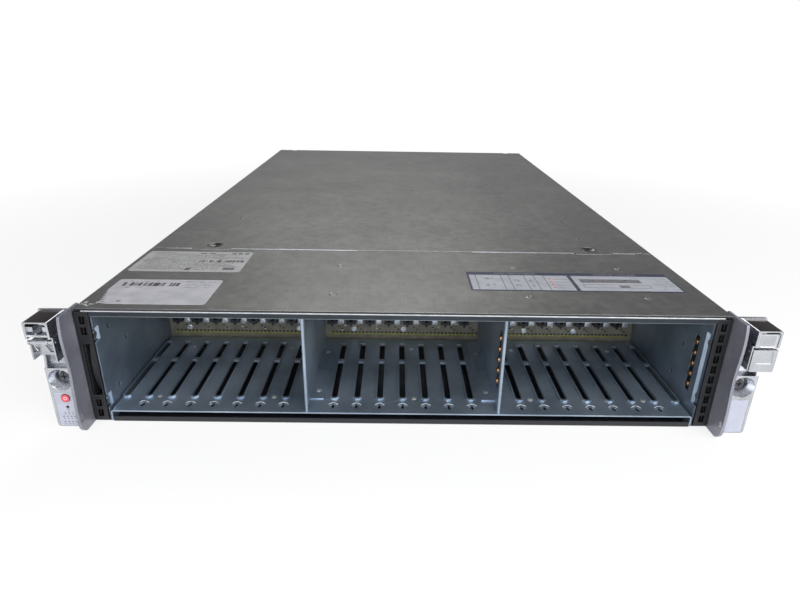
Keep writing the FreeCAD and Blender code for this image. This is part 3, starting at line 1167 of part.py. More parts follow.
def power_supply(index):
    """Closed case with a fan grille and socket at its rear, a loop handle and a release tab."""
    name = index + 1
    z0 = supply_low(index)
    y1 = PANEL_FACE
    y0 = y1 - SUPPLY_DEPTH
    x0 = SUPPLY_INNER_X
    x1 = x0 + SUPPLY_WIDTH
    case = box(x0, x1, y0, y1, z0, z0 + SUPPLY_HEIGHT)
    grille_x = x1 - 21.5
    grille_z = z0 + SUPPLY_HEIGHT / 2
    opening = facet_rod((grille_x, y1 - 1.5, grille_z), GRILLE_RADIUS, 2, (0, 1, 0), 20)
    spokes = [box(grille_x - 18, grille_x + 18, y1 - 1.5, y1, grille_z - 0.8, grille_z + 0.8),
              box(grille_x - 0.8, grille_x + 0.8, y1 - 1.5, y1, grille_z - 18, grille_z + 18)]
    for outer, inner in ((5.0, 0.0), (12.0, 10.6)):
        ring = facet_rod((grille_x, y1 - 1.5, grille_z), outer, 1.5, (0, 1, 0), 16)
        if inner:
            ring = ring.cut(facet_rod((grille_x, y1 - 2, grille_z), inner, 3, (0, 1, 0), 16))
        spokes.append(ring)
    inlet = box(x0 + 6, x0 + 33, y1 - 16, y1 + 1, z0 + 4, z0 + 23.5)
    grille_floor = opening.cut(Part.makeCompound(spokes))
    prongs = [box(x0 + 6 + dx - 1.0, x0 + 6 + dx + 1.0, y1 - 16.5, y1 - 9, z0 + dz - 2.4, z0 + dz + 2.4)
              for dx, dz in ((6.5, 11.0), (20.5, 11.0), (13.5, 16.0))]
    save("power_supply_%d" % name, cut(case, [grille_floor, inlet.cut(Part.makeCompound(prongs))]))
    handle_z = z0 + HANDLE_RISE
    left = x0 + 4.0
    right = x0 + 34.0
    path = [(left, y1), (left, y1 + HANDLE_REACH), (right, y1 + HANDLE_REACH), (right, y1)]
    bar = strip(path[::-1], 2.0, "z", handle_z, handle_z + 6.0, 3.0)
    save("supply_handle_%d" % name, bar)
    tab = prism([(x0 + 37.0, y1 + 0.4), (x0 + 41.0, y1 + 0.4), (x0 + 41.0, y1 + 14.0), (x0 + 37.6, y1 + 16.0)],
                "z", handle_z - 12.0, handle_z - 2.0, [0, 0, 1.2, 0.8])
    save("supply_tab_%d" % name, tab)


def build():
    chassis_tub()
    front_cover()
    rear_cover()
    cover_buttons()
    cage_floor()
    cage_top()
    cage_walls()
    lug_screws()
    dividers()
    contacts()
    backplane()
    backplane_carrier()
    rivets()
    side_frames()
    panel_cable()
    save("ear_right", ear(1))
    save("ear_left", ear(-1))
    control_panel()
    rack_screws()
    latch_housings()
    save("release_lever_right", release_lever(True))
    save("release_lever_left", mirrored(release_lever(False)))
    fan_wall()
    fans()
    air_shroud()
    main_board()
    memory()
    expansion()
    ports()
    rear_panel()
    supply_cage()
    power_supply(0)
    power_supply(1)


build()
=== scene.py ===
# %% [markdown]
# # A rack server, two units high, with an empty drive cage
# This lesson dresses a finished set of sheet metal parts. The metal parts come from the CAD frame, so
# their sizes are settled. What is left is what the eye reads: soft edges, plating, print and light.

# %% Load the frame
import json
import math

import bmesh
import bpy
import numpy as np
from mathutils import Matrix, Vector

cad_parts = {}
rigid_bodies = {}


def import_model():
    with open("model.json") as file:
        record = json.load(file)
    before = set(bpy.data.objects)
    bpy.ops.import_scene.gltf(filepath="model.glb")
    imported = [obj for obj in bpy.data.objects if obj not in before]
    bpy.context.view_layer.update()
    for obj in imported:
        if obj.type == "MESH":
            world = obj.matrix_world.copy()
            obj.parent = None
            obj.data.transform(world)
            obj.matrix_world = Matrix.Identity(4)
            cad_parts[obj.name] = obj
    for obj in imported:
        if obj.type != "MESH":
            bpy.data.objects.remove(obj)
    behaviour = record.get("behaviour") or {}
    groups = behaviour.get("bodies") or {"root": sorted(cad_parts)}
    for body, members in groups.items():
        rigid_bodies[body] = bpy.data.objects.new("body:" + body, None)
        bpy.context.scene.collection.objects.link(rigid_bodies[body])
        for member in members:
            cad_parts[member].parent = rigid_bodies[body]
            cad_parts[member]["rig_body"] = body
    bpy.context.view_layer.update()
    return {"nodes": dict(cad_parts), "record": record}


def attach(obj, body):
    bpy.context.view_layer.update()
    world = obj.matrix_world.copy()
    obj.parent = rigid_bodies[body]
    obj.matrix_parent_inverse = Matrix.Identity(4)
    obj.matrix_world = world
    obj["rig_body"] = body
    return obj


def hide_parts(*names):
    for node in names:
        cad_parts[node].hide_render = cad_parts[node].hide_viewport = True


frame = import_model()
MM = 0.001
nodes = frame["nodes"]
body_of_node = {n: o["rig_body"] for n, o in nodes.items()}
slot_of_node = {r["node"]: r["material_slot"] for r in frame["record"]["subparts"]}

# %% [markdown]
# ## Camera first
# Every later choice is judged from one place, so the camera comes before anything else. Its place and its
# three directions were found by fitting the known sizes of the server to what a viewer sees.

# %% Camera
camera_data = bpy.data.cameras.new("front_camera")
camera_data.lens = 25.936
camera_data.sensor_width = 36.0
camera = bpy.data.objects.new("front_camera", camera_data)
bpy.context.scene.collection.objects.link(camera)
right = Vector((0.99987, -0.00399, 0.01524))
up = Vector((-0.01256, 0.38278, 0.92375))
forward = Vector((0.00952, 0.92383, -0.38268))
turn = Matrix((right, up, -forward)).transposed()
camera.matrix_world = Matrix.Translation((-0.00683, -0.71231, 0.24058)) @ turn.to_4x4()
camera_data.clip_start = 0.01
bpy.context.scene.camera = camera
print("camera", [round(v, 3) for v in camera.location])

# %% [markdown]
# ## Two small tools for materials
# A hex colour is written for a screen, and a renderer wants light in linear amounts, so one function turns
# one into the other. The second adds any shader node with its settings and links in one line.

# %% Colour and node helpers
def srgb(text, alpha=1.0):
    """Linear colour of '#rrggbb': a channel c becomes ((c + 0.055) / 1.055) ** 2.4, or c / 12.92 if dark."""
    parts = [int(text[i:i + 2], 16) / 255 for i in (1, 3, 5)]
    return (*[p / 12.92 if p <= 0.04045 else ((p + 0.055) / 1.055) ** 2.4 for p in parts], alpha)


def add(tree, kind, settings=None, **inputs):
    """One shader node. Base_Color means the socket 'Base Color', and _0 means the first socket."""
    made = tree.nodes.new("ShaderNode" + kind)
    for name, value in (settings or {}).items():
        setattr(made, name, value)
    for name, value in inputs.items():
        socket = made.inputs[int(name[1:]) if name[0] == "_" else name.replace("_", " ")]
        if isinstance(value, bpy.types.NodeSocket):
            tree.links.new(value, socket)
        else:
            socket.default_value = value
    return made


def blank(name):
    """New material with only an output and a Principled shader; returns material, tree, shader."""
    material = bpy.data.materials.new(name)
    material.use_nodes = True
    tree = material.node_tree
    tree.nodes.clear()
    shader = add(tree, "BsdfPrincipled")
    add(tree, "OutputMaterial", Surface=shader.outputs[0])
    return material, tree, shader


def place_of(tree, scale=(1, 1, 1)):
    """Object coordinates in metres, stretched by scale."""
    where = add(tree, "TexCoord").outputs["Object"]
    return add(tree, "Mapping", Vector=where, Scale=scale).outputs[0]


def ramp(tree, factor, stops):
    """Colour ramp through (place, '#rrggbb') stops."""
    made = add(tree, "ValToRGB", Fac=factor)
    band = made.color_ramp
    while len(band.elements) < len(stops):
        band.elements.new(0.5)
    for element, (where, colour) in zip(band.elements, stops):
        element.position = where
        element.color = srgb(colour)
    return made.outputs[0]


def spread(tree, factor, low, high, start=0.0, stop=1.0):
    """Straight line from start..stop to low..high."""
    line = add(tree, "MapRange", Value=factor, From_Min=start, From_Max=stop, To_Min=low, To_Max=high)
    return line.outputs[0]


def noise(tree, size_mm, stretch=(1, 1, 1), detail=3.0, rough=0.55):
    """Noise whose lumps are size_mm across, longer where stretch is small."""
    per_metre = 1000.0 / size_mm
    return add(tree, "TexNoise", Vector=place_of(tree, stretch), Scale=per_metre, Detail=detail,
               Roughness=rough).outputs["Fac"]


def grained(name, dark, light, patch_mm, rough, grain_mm, stretch=(1, 1, 1), metallic=1.0, bump=0.05):
    """Most finishes here: a colour that drifts from dark to light, and a grain that breaks up the gloss."""
    material, tree, shader = blank(name)
    patches = noise(tree, patch_mm, detail=4.0)
    grain = noise(tree, grain_mm, stretch)
    colour = ramp(tree, patches, [(0.32, dark), (0.68, light)])
    tree.links.new(colour, shader.inputs["Base Color"])
    tree.links.new(spread(tree, grain, rough[0], rough[1], 0.3, 0.7), shader.inputs["Roughness"])
    shader.inputs["Metallic"].default_value = metallic
    if bump:
        relief = add(tree, "Bump", Height=grain, Strength=bump, Distance=0.0001)
        tree.links.new(relief.outputs[0], shader.inputs["Normal"])
    return material


print("linear mid grey", [round(v, 3) for v in srgb("#808080")])

# %% [markdown]
# ## Galvanised cover steel
# The covers are hot-dip galvanised sheet, rolled and then handled for years. Zinc freezes in crystals, which
# read as a faint spangle, and rolling leaves fine lines along the sheet. Fingers leave duller patches.

# %% Cover steel
def cover_steel(name, dark, light):
    material, tree, shader = blank(name)
    cells = add(tree, "TexVoronoi", Vector=place_of(tree), Scale=1000 / 5.0, Randomness=1.0)
    tone = add(tree, "SeparateColor", Color=cells.outputs["Color"]).outputs[0]
    patches = noise(tree, 90.0, detail=5.0)
    lines = noise(tree, 0.9, (1, 0.03, 1))
    smears = noise(tree, 28.0, (1, 0.5, 1), 6.0, 0.65)
    soft = add(tree, "Math", {"operation": "MULTIPLY_ADD"}, _0=patches, _1=0.5, _2=0.25).outputs[0]
    mixed = add(tree, "Math", {"operation": "MULTIPLY_ADD"}, _0=tone, _1=0.18, _2=soft).outputs[0]
    mixed = add(tree, "Math", {"operation": "MULTIPLY_ADD"}, _0=lines, _1=0.22, _2=mixed).outputs[0]
    colour = ramp(tree, mixed, [(0.42, dark), (0.95, light)])
    tree.links.new(colour, shader.inputs["Base Color"])
    rough = add(tree, "Math", {"operation": "MULTIPLY_ADD"}, _0=tone, _1=0.05,
                _2=spread(tree, smears, 0.38, 0.46, 0.3, 0.7)).outputs[0]
    tree.links.new(rough, shader.inputs["Roughness"])
    shader.inputs["Metallic"].default_value = 1.0
    wave = noise(tree, 60.0, detail=1.0)
    relief = add(tree, "Bump", Height=lines, Strength=0.08, Distance=0.0001)
    relief = add(tree, "Bump", Height=wave, Strength=0.12, Distance=0.0006, Normal=relief.outputs[0])
    tree.links.new(relief.outputs[0], shader.inputs["Normal"])
    return material


print("cover steel ready")

# %% [markdown]
# ## Tub steel
# The tub is the same zinc-coated sheet. Inside its walls, in front of a rear limit below the drive cage, it
# is
# coloured near black and not metallic: painted shade for the dark space seen through the cage floor's slots.
# The front lip below the cage takes the same dark colour.

# %% Tub steel
# rear limit of the painted shade inside the tub
SHADE_REAR = -0.246
INNER_WALL = 0.2163


def tub_steel_with_shade(name, dark, light, shade_colour):
    """Zinc sheet, coloured near black in front of the rear limit wherever it lies inside the tub's walls:
    painted shade.
    """
    material = grained(name, dark, light, 14.0, (0.34, 0.44), 0.8, (1, 0.05, 1))
    tree = material.node_tree
    shader = tree.nodes["Principled BSDF"]
    bare = shader.inputs["Base Color"].links[0].from_socket
    where = add(tree, "SeparateXYZ", Vector=place_of(tree)).outputs
    near = add(tree, "Math", {"operation": "LESS_THAN"}, _0=where["Y"], _1=SHADE_REAR).outputs[0]
    out = add(tree, "Math", {"operation": "ABSOLUTE"}, _0=where["X"]).outputs[0]
    inside = add(tree, "Math", {"operation": "LESS_THAN"}, _0=out, _1=INNER_WALL).outputs[0]
    part = add(tree, "Math", {"operation": "MULTIPLY"}, _0=inside, _1=near).outputs[0]
    mixed = add(tree, "Mix", {"data_type": "RGBA"}, Factor=part, _6=bare, _7=srgb(shade_colour)).outputs[2]
    tree.links.new(mixed, shader.inputs["Base Color"])
    shine = add(tree, "Math", {"operation": "SUBTRACT"}, _0=1.0, _1=part).outputs[0]
    tree.links.new(shine, shader.inputs["Metallic"])
    return material


print("tub painted in front of", SHADE_REAR)

# %% [markdown]
# ## Cast and plated metal of the ears
# The ears are die-cast zinc with a satin nickel plating. Plating shows its surroundings: the wide faces pick
# up the white table, the fins beside the cage only see dark plastic. The fins' darker gunmetal colour is a
# painted reflection of that dark plastic, so the colour changes where the casting passes from pad to fin;
# the fins are also rougher and less metallic.

# %% Ear plating
FIN_FACE = 0.2213


def ear_plating(name, pad_tones, fin_reflection_tones, pad_rough, fin_rough):
    """Plating with two pairs of tones and gloss: pads further out than FIN_FACE, fins further in, whose
    darker tones are a painted reflection.
    """
    material, tree, shader = blank(name)
    patches = noise(tree, 16.0, detail=4.0)
    grain = noise(tree, 0.8)
    pads = ramp(tree, patches, [(0.3, pad_tones[0]), (0.7, pad_tones[1])])
    # the fins' darker tones: painted reflection of the dark plastic beside them
    fins = ramp(tree, patches, [(0.3, fin_reflection_tones[0]), (0.7, fin_reflection_tones[1])])
    across = add(tree, "SeparateXYZ", Vector=place_of(tree)).outputs["X"]
    out = add(tree, "Math", {"operation": "ABSOLUTE"}, _0=across).outputs[0]
    part = add(tree, "Math", {"operation": "GREATER_THAN"}, _0=out, _1=FIN_FACE).outputs[0]
    mixed = add(tree, "Mix", {"data_type": "RGBA"}, Factor=part, _6=fins, _7=pads).outputs[2]
    tree.links.new(mixed, shader.inputs["Base Color"])
    glossy = spread(tree, grain, pad_rough[0], pad_rough[1], 0.3, 0.7)
    worn = spread(tree, grain, fin_rough[0], fin_rough[1], 0.3, 0.7)
    tree.links.new(add(tree, "Mix", Factor=part, _2=worn, _3=glossy).outputs[0], shader.inputs["Roughness"])
    tree.links.new(spread(tree, part, 0.35, 1.0), shader.inputs["Metallic"])
    return material


print("fins start inside", FIN_FACE, "m")

# %% [markdown]
# ## Power button print
# The power button is moulded red plastic with a pale ring and a dot printed on its face. Distance from the
# button's middle picks the colour, so the print needs no texture.

# %% Power button
def ringed_button(name, middle_mm, stops):
    """Plastic whose colour depends on the distance from middle_mm, given as (mm, colour) stops up to 4 mm."""
    material, tree, shader = blank(name)
    where = add(tree, "TexCoord").outputs["Object"]
    middle = tuple(v * MM for v in middle_mm)
    away = add(tree, "VectorMath", {"operation": "SUBTRACT"}, _0=where, _1=middle).outputs[0]
    flat = add(tree, "VectorMath", {"operation": "MULTIPLY"}, _0=away, _1=(1, 0, 1)).outputs[0]
    reach = add(tree, "VectorMath", {"operation": "LENGTH"}, _0=flat).outputs["Value"]
    colour = ramp(tree, spread(tree, reach, 0.0, 1.0, 0.0, 4 * MM), [(r / 4.0, c) for r, c in stops])
    tree.links.new(colour, shader.inputs["Base Color"])
    shader.inputs["Roughness"].default_value = 0.35
    return material


power_face = ringed_button("printed_red_button", (-231.7, 0, 23.5),
                           [(0.0, "#b8232c"), (0.5, "#b8232c"), (0.7, "#e9a9ae"), (1.3, "#e9a9ae"),
                            (1.6, "#c5303a"), (2.3, "#c5303a"), (2.5, "#d98088"), (2.9, "#8e2a34")])

# %% [markdown]
# ## One finish for each slot
# A slot is a family of pieces made of the same stuff. Zinc sheet, nickel plate, brass, black ABS, laminate
# and printed film differ mostly in colour, gloss and the size of their grain.

# %% Finishes by slot
finishes = {
    "cover_steel": cover_steel("zinc_coated_cover_steel", "#6b6b69", "#8f8f8c"),
    "galvanised_steel": grained("zinc_coated_sheet", "#8f9396", "#9da1a4", 14.0, (0.34, 0.44), 0.8,
                                (1, 0.05, 1)),
    "cage_steel": grained("zinc_coated_cage_sheet", "#8292a4", "#a8b7c7", 40.0, (0.32, 0.46), 0.9,
                          (1, 0.05, 1), metallic=0.8),
    "plated_steel": grained("nickel_plated_steel", "#c6c8ca", "#e4e6e8", 12.0, (0.2, 0.34), 0.5),
    "button_steel": grained("turned_steel", "#5a5a56", "#74746f", 8.0, (0.22, 0.34), 0.4),
    "brass": grained("turned_brass", "#8a6244", "#c39a72", 3.0, (0.26, 0.38), 0.4),
    "black_plastic": grained("moulded_black_abs", "#0e0f12", "#17181c", 18.0, (0.36, 0.5), 0.5, metallic=0.0,
                             bump=0.15),
    "board_green": grained("solder_masked_laminate", "#3b4a2c", "#4c5c38", 12.0, (0.30, 0.42), 0.7,
                           metallic=0.0),
    "cable_jacket": grained("flat_cable_jacket", "#1b1c1f", "#2b2c30", 8.0, (0.45, 0.6), 0.4, metallic=0.0),
    "ear_plating": ear_plating("satin_plated_zinc", ("#b6b8be", "#d0d3d8"), ("#74757f", "#898a95"),
                               (0.2, 0.3), (0.3, 0.38)),
    "panel_film": grained("printed_panel_film", "#9a9dab", "#a8abb8", 12.0, (0.35, 0.42), 0.6,
                          metallic=0.0, bump=0.02),
    "light_lens": grained("clear_lens", "#7d818e", "#8d919d", 2.0, (0.15, 0.2), 0.5, metallic=0.0, bump=0.0),
    "power_red": power_face,
    "aluminium": grained("extruded_aluminium", "#c3c5c8", "#dadcde", 20.0, (0.28, 0.4), 0.5, (1, 0.05, 1)),
    "tab_orange": grained("orange_moulding", "#b5501d", "#c9602a", 6.0, (0.4, 0.5), 0.4, metallic=0.0),
}
# the cage top is the cage's own zinc sheet, coloured near black: painted shade under the cover's front edge
cage_top_shade = grained("zinc_sheet_painted_shade", "#23292f", "#2e353c", 40.0, (0.42, 0.55), 0.9, (1, 0.05, 1),
                   metallic=0.6)
# the tub's inside front, near black: painted shade below the cage floor
tub_with_painted_shade = tub_steel_with_shade("zinc_sheet_with_painted_shade_front", "#8f9396", "#9da1a4", "#191b20")
bright_zinc = grained("bright_zinc_plate", "#b9bdc2", "#d6d9dc", 6.0, (0.3, 0.42), 0.5, metallic=0.7)
# bevel faces coloured brighter than their sheet or plating: painted highlights along the edges
zinc_edge_highlight = grained("zinc_edge_painted_highlight", "#b9c2ca", "#d3dae0", 10.0, (0.2, 0.3), 0.5)
plating_edge_highlight = grained("plating_edge_painted_highlight", "#dfe1e4", "#f0f1f3", 8.0, (0.2, 0.3), 0.5)
tan_laminate = grained("uncoated_tan_laminate", "#5c5a50", "#737066", 9.0, (0.38, 0.5), 0.6, metallic=0.0)
# the latch hoods' upward faces are coloured dark: painted reflection of the dark room above them
hood_top_reflection = grained("plated_hood_painted_reflection", "#463c3a", "#574b48", 14.0, (0.14, 0.24), 0.7)
dull_steel = grained("dull_plated_screw", "#8b8b89", "#a3a3a0", 5.0, (0.26, 0.38), 0.4)
# near black strip along the cover's front edge: painted shadow of the gap above the cage top
cover_edge_shadow = grained("painted_shadow_gap", "#141518", "#1c1d21", 10.0, (0.4, 0.5), 0.5, metallic=0.0)
# a darker screw steel, used for the rack, blank and panel screws
driver_steel = grained("dark_grey_screw_steel", "#55565b", "#6c6d72", 5.0, (0.3, 0.42), 0.4)
print(len(finishes), "finishes, one per slot")

# %% [markdown]
# ## Softer edges on the CAD pieces
# No real edge is knife sharp: a punched sheet has a burr side and a rolled side, and a casting has radii. A
# narrow bevel catches the light as a thin line. The frame's own meshes are left alone; each copy has its
# loose triangles merged, gets the bevel, and stands for the CAD node.

# %% Dress a CAD node
def dressed(name, width_mm, material=None, edge=None, upper=None, angle=35.0, segments=2):
    """Merged copy of a CAD node with a bevel of width_mm.

    The bevel's new faces may carry an edge finish, a brighter colour that is a painted highlight, and the
    faces that look straight up an upper one, a darker colour that is a painted reflection.
    """
    source = nodes[name]
    mesh = source.data.copy()
    mesh.name = name + "_dressed"
    work = bmesh.new()
    work.from_mesh(mesh)
    bmesh.ops.remove_doubles(work, verts=work.verts, dist=1e-6)
    bmesh.ops.dissolve_limit(work, angle_limit=math.radians(1.0), verts=work.verts, edges=work.edges)
    work.to_mesh(mesh)
    work.free()
    piece = bpy.data.objects.new(name + "_dressed", mesh)
    bpy.context.scene.collection.objects.link(piece)
    mesh.materials.clear()
    mesh.materials.append(material or finishes[slot_of_node[name]])
    mesh.materials.append(edge or mesh.materials[0])
    mesh.materials.append(upper or mesh.materials[0])
    normals = np.empty(len(mesh.polygons) * 3)
    mesh.polygons.foreach_get("normal", normals)
    looks_up = normals.reshape(-1, 3)[:, 2] > 0.98
    mesh.polygons.foreach_set("material_index", np.where(looks_up, 2, 0).astype(np.int32))
    mesh.shade_smooth()
    mesh.set_sharp_from_angle(angle=math.radians(angle))
    bevel = piece.modifiers.new("edge", "BEVEL")
    bevel.width = width_mm * MM
    bevel.segments = segments
    bevel.limit_method = "ANGLE"
    bevel.angle_limit = math.radians(angle)
    bevel.use_clamp_overlap = True
    bevel.harden_normals = True
    bevel.material = 1
    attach(piece, body_of_node[name])
    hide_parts(name)
    return piece


for name, node in nodes.items():
    node.data.materials.clear()
    node.data.materials.append(finishes[slot_of_node[name]])

edge_widths = {
    "front_cover": 0.35, "rear_cover": 0.5, "cage_top": 0.3, "cage_floor": 0.5, "divider_left": 0.42,
    "divider_right": 0.42, "cage_side_left": 0.25, "cage_side_right": 0.25, "chassis_tub": 0.3,
    "side_frame_left": 0.3, "side_frame_right": 0.3, "drive_connectors": 0.3, "ear_left": 0.35,
    "ear_right": 0.35, "latch_housing_left": 0.35, "latch_housing_right": 0.35, "latch_cover_right": 0.3,
    "release_lever_left": 0.3, "release_lever_right": 0.4, "control_panel": 0.12, "ear_plate_right": 0.12,
    "rear_panel": 0.2, "port_shells": 0.25, "power_supply_1": 0.5, "power_supply_2": 0.5,
    "supply_handle_1": 0.7, "supply_handle_2": 0.7, "supply_tab_1": 0.4, "supply_tab_2": 0.4,
    "slot_covers": 0.2, "supply_cage": 0.2, "backplane_board": 0.15,
}
# the cage top and the tub's front take darker colours here, painted shade; the backplane's tan laminate is
# its own colour
own_finish_and_shade = {"cage_top": cage_top_shade, "backplane_board": tan_laminate, "chassis_tub": tub_with_painted_shade}
# brighter colours on the bevels: painted highlights
edge_highlights = {"cage_top": zinc_edge_highlight, "cage_floor": zinc_edge_highlight, "divider_left": zinc_edge_highlight,
            "divider_right": zinc_edge_highlight, "rear_cover": zinc_edge_highlight, "front_cover": zinc_edge_highlight,
            "ear_left": plating_edge_highlight, "ear_right": plating_edge_highlight, "latch_housing_left": plating_edge_highlight,
            "latch_housing_right": plating_edge_highlight, "latch_cover_right": plating_edge_highlight,
            "release_lever_right": plating_edge_highlight}
# darker colour on the faces that look up: painted reflection
top_reflections = {"latch_housing_left": hood_top_reflection, "latch_housing_right": hood_top_reflection}
for name, width in edge_widths.items():
    dressed(name, width, own_finish_and_shade.get(name), edge_highlights.get(name), top_reflections.get(name))
# the rack screws in the ears' dishes take the darker screw steel
nodes["rack_screws"].data.materials[0] = driver_steel
print(len(edge_widths), "nodes dressed,", len(nodes) - len(edge_widths), "not")

# %% [markdown]
# Several steps place things by the same few sizes, so these stand together, in millimetres.

# %% Shared sizes
TOP_FACE = 88.0      # upper face of the covers
FRONT_EDGE = -365.0  # front edge of the covers and the cage
JOINT = -232.0       # rear edge of the front cover
GROUP_PITCH = 136.8  # from one group of eight bays to the next
BAY_PITCH = 16.8
DIVIDER_X = 68.4
BUTTON_X = 166.0     # press buttons of the rear cover
print("bays are", BAY_PITCH, "mm apart")

# %% [markdown]
# ## Surfaces from arrays
# Small pieces are not worth modelling by hand. Each one is a grid of points worked out in one go: a turned
# piece is an outline carried round an axis, a sheet is a grid of lines across and along. One function turns
# any stack of such grids into a closed mesh, and places it on the body it moves with.

# %% Grids to a mesh
def surface(name, grids, finish, node, wrap=(False, False), replaced=True, inks=None, inks_of=()):
    """Mesh of a stack of point grids in mm, shaped (copies, rows, columns, 3).

    Point (i, j) makes a face with (i + 1, j), (i + 1, j + 1) and (i, j + 1), and wrap joins the last row or
    column to the first. Points that fall on each other are merged, which closes poles.
    """
    grids = np.asarray(grids, float)
    copies, rows, columns, _ = grids.shape
    index = np.arange(rows * columns).reshape(rows, columns)
    if wrap[0]:
        index = np.concatenate([index, index[:1]], 0)
    if wrap[1]:
        index = np.concatenate([index, index[:, :1]], 1)
    quads = np.stack([index[:-1, :-1], index[1:, :-1], index[1:, 1:], index[:-1, 1:]], -1).reshape(-1, 4)
    quads = (quads[None] + (np.arange(copies) * rows * columns)[:, None, None]).reshape(-1, 4)
    mesh = bpy.data.meshes.new(name)
    mesh.from_pydata((grids.reshape(-1, 3) * MM).tolist(), [], quads.tolist())
    mesh.materials.append(finish)
    for ink in inks_of:
        mesh.materials.append(ink)
    if inks is not None:
        mesh.polygons.foreach_set("material_index", np.ascontiguousarray(inks, np.int32).ravel())
    work = bmesh.new()
    work.from_mesh(mesh)
    bmesh.ops.remove_doubles(work, verts=work.verts, dist=1e-6)
    bmesh.ops.dissolve_degenerate(work, dist=1e-7, edges=work.edges)
    bmesh.ops.recalc_face_normals(work, faces=work.faces)
    work.to_mesh(mesh)
    work.free()
    piece = bpy.data.objects.new(name, mesh)
    bpy.context.scene.collection.objects.link(piece)
    mesh.shade_smooth()
    mesh.set_sharp_from_angle(angle=math.radians(32))
    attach(piece, body_of_node[node])
    if replaced:
        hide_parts(node)
    return piece


def turned(name, profile, places, axis, finish, node, sides=20, **more):
    """Outline of (radius, height) carried round an axis at each place: across = r cos t, up = r sin t.

    axis is 'x', 'y' or 'z' with a sign, the direction in which height grows.
    """
    radius, height = np.array(profile, float).T
    turn = np.linspace(0, 2 * np.pi, sides, endpoint=False)[:, None]
    along = "xyz".index(axis[1])
    shape = np.empty((sides, len(radius), 3))
    shape[..., (along + 1) % 3] = radius * np.cos(turn)
    shape[..., (along + 2) % 3] = radius * np.sin(turn)
    shape[..., along] = (1 if axis[0] == "+" else -1) * height
    places = np.array(places, float)
    return surface(name, places[:, None, None] + shape, finish, node, wrap=(True, False), **more)


print("surface and turned ready")

# %% [markdown]
# ## Screws, rivets, contacts and buttons
# A turned outline gives each fastener the shape that its tool leaves: a flat pan with a driver's pit for the
# cover's screws, a dome for a peened rivet, a rounded tip for a brass contact. The cover's press buttons are
# cups, so a thumb finds them: their middle is sunk, and a bead runs round the rim.

# %% Fasteners
screw_places = [(x, FRONT_EDGE + d, TOP_FACE) for x in (-50.5, 88.5, 173.0) for d in (30.0, 92.0)]
screw_outline = [(0, -1.2), (0.9, -1.2), (1.15, 0.1), (1.5, 0.3), (2.2, 0.28), (2.6, 0.05), (2.7, -0.3),
                 (2.7, -1.6), (0, -1.6)]
turned("cover_screw_heads", screw_outline, screw_places, "+z", dull_steel, "cover_screws", 18)

rivet_places = [(x, FRONT_EDGE + d, 9.6) for x in (-178.8, -94.8, 8.4, 94.8, 178.8) for d in (19.7, 99.0)]
rivet_places += [(x, FRONT_EDGE + d, 10.6) for x in (-62.7, 62.7) for d in (28.0, 90.0)]
dome_outline = [(0, 0.5), (0.7, 0.46), (1.3, 0.36), (1.8, 0.18), (2.0, 0.0), (2.0, -0.4), (0, -0.4)]
turned("floor_rivet_domes", dome_outline, rivet_places, "+z", bright_zinc, "floor_rivets", 14)

contact_outline = [(0, 1.0), (0.5, 0.96), (0.6, 0.8), (1.1, 0.8), (1.6, 0.7), (2.0, 0.35), (2.1, 0.0),
                   (2.1, -0.6), (0, -0.6)]
contact_places = [(208.0, -346.5, 26.0 + 8.5 * k) for k in range(5)]
contact_places += [(67.0, -353.3, 30.4 + 8.5 * k) for k in range(5)]
turned("brass_contact_tips", contact_outline, contact_places, "-x", finishes["brass"], "brass_contacts", 16)

# %% [markdown]
# The cover's two buttons and the rivets of the strips below them are turned in the same way.

# %% Cover buttons
cup_outline = [(0, -1.5), (1.6, -1.5), (3.4, -1.25), (4.7, -0.7), (5.3, -0.15), (5.7, -0.02), (6.2, 0.0),
               (6.55, -0.25), (6.6, -0.6), (6.6, -3.6), (3.0, -3.6), (3.0, -11.4), (0, -11.4)]
for side, label in ((-1, "left"), (1, "right")):
    turned("cover_cup_" + label, cup_outline, [(side * BUTTON_X, -222.0, TOP_FACE)], "+z",
           finishes["button_steel"], "cover_button_" + label, 40)
rivet_outline = [(0, 0.25), (0.8, 0.22), (1.4, 0.1), (1.6, 0.0), (1.6, -0.5), (0, -0.5)]
pin_places = [(side * BUTTON_X, JOINT + d, TOP_FACE) for side in (-1, 1) for d in (46.0, 102.0, 108.0)]
turned("cover_strip_rivets", rivet_outline, pin_places, "+z", finishes["button_steel"], "rear_cover", 12,
       replaced=False)
print("fasteners and buttons turned")

# %% [markdown]
# ## Printed labels
# The cover carries stuck-on labels. Each is a sheet of polyester a tenth of a millimetre thick, with round
# corners. Its print is generic: ruled lines, bars and plain boxes, kept as the colour of small faces in the
# sheet, so that it stays sharp from any side. One label is torn along its left edge.

# %% Label helpers
LABEL_LIFT = 0.09
paper_silver = grained("silver_polyester_label", "#949494", "#a2a2a2", 10.0, (0.35, 0.5), 0.5, metallic=0.0)
paper_white = grained("white_polyester_label", "#9b9ba0", "#adadb2", 12.0, (0.4, 0.55), 0.5, metallic=0.0)
paper_grey = grained("matt_white_label", "#92959c", "#a2a5ab", 12.0, (0.4, 0.5), 0.5, metallic=0.0)
ink_dark = grained("black_thermal_print", "#29292c", "#3a3a3d", 4.0, (0.4, 0.5), 0.5, metallic=0.0, bump=0.0)
ink_grey = grained("grey_thermal_print", "#5e5e62", "#6e6e72", 4.0, (0.4, 0.5), 0.5, metallic=0.0, bump=0.0)
ink_navy = grained("navy_offset_print", "#1d1f36", "#262944", 6.0, (0.3, 0.4), 0.5, metallic=0.0, bump=0.0)
ink_red = grained("red_offset_print", "#b06060", "#bd7070", 4.0, (0.4, 0.5), 0.5, metallic=0.0, bump=0.0)


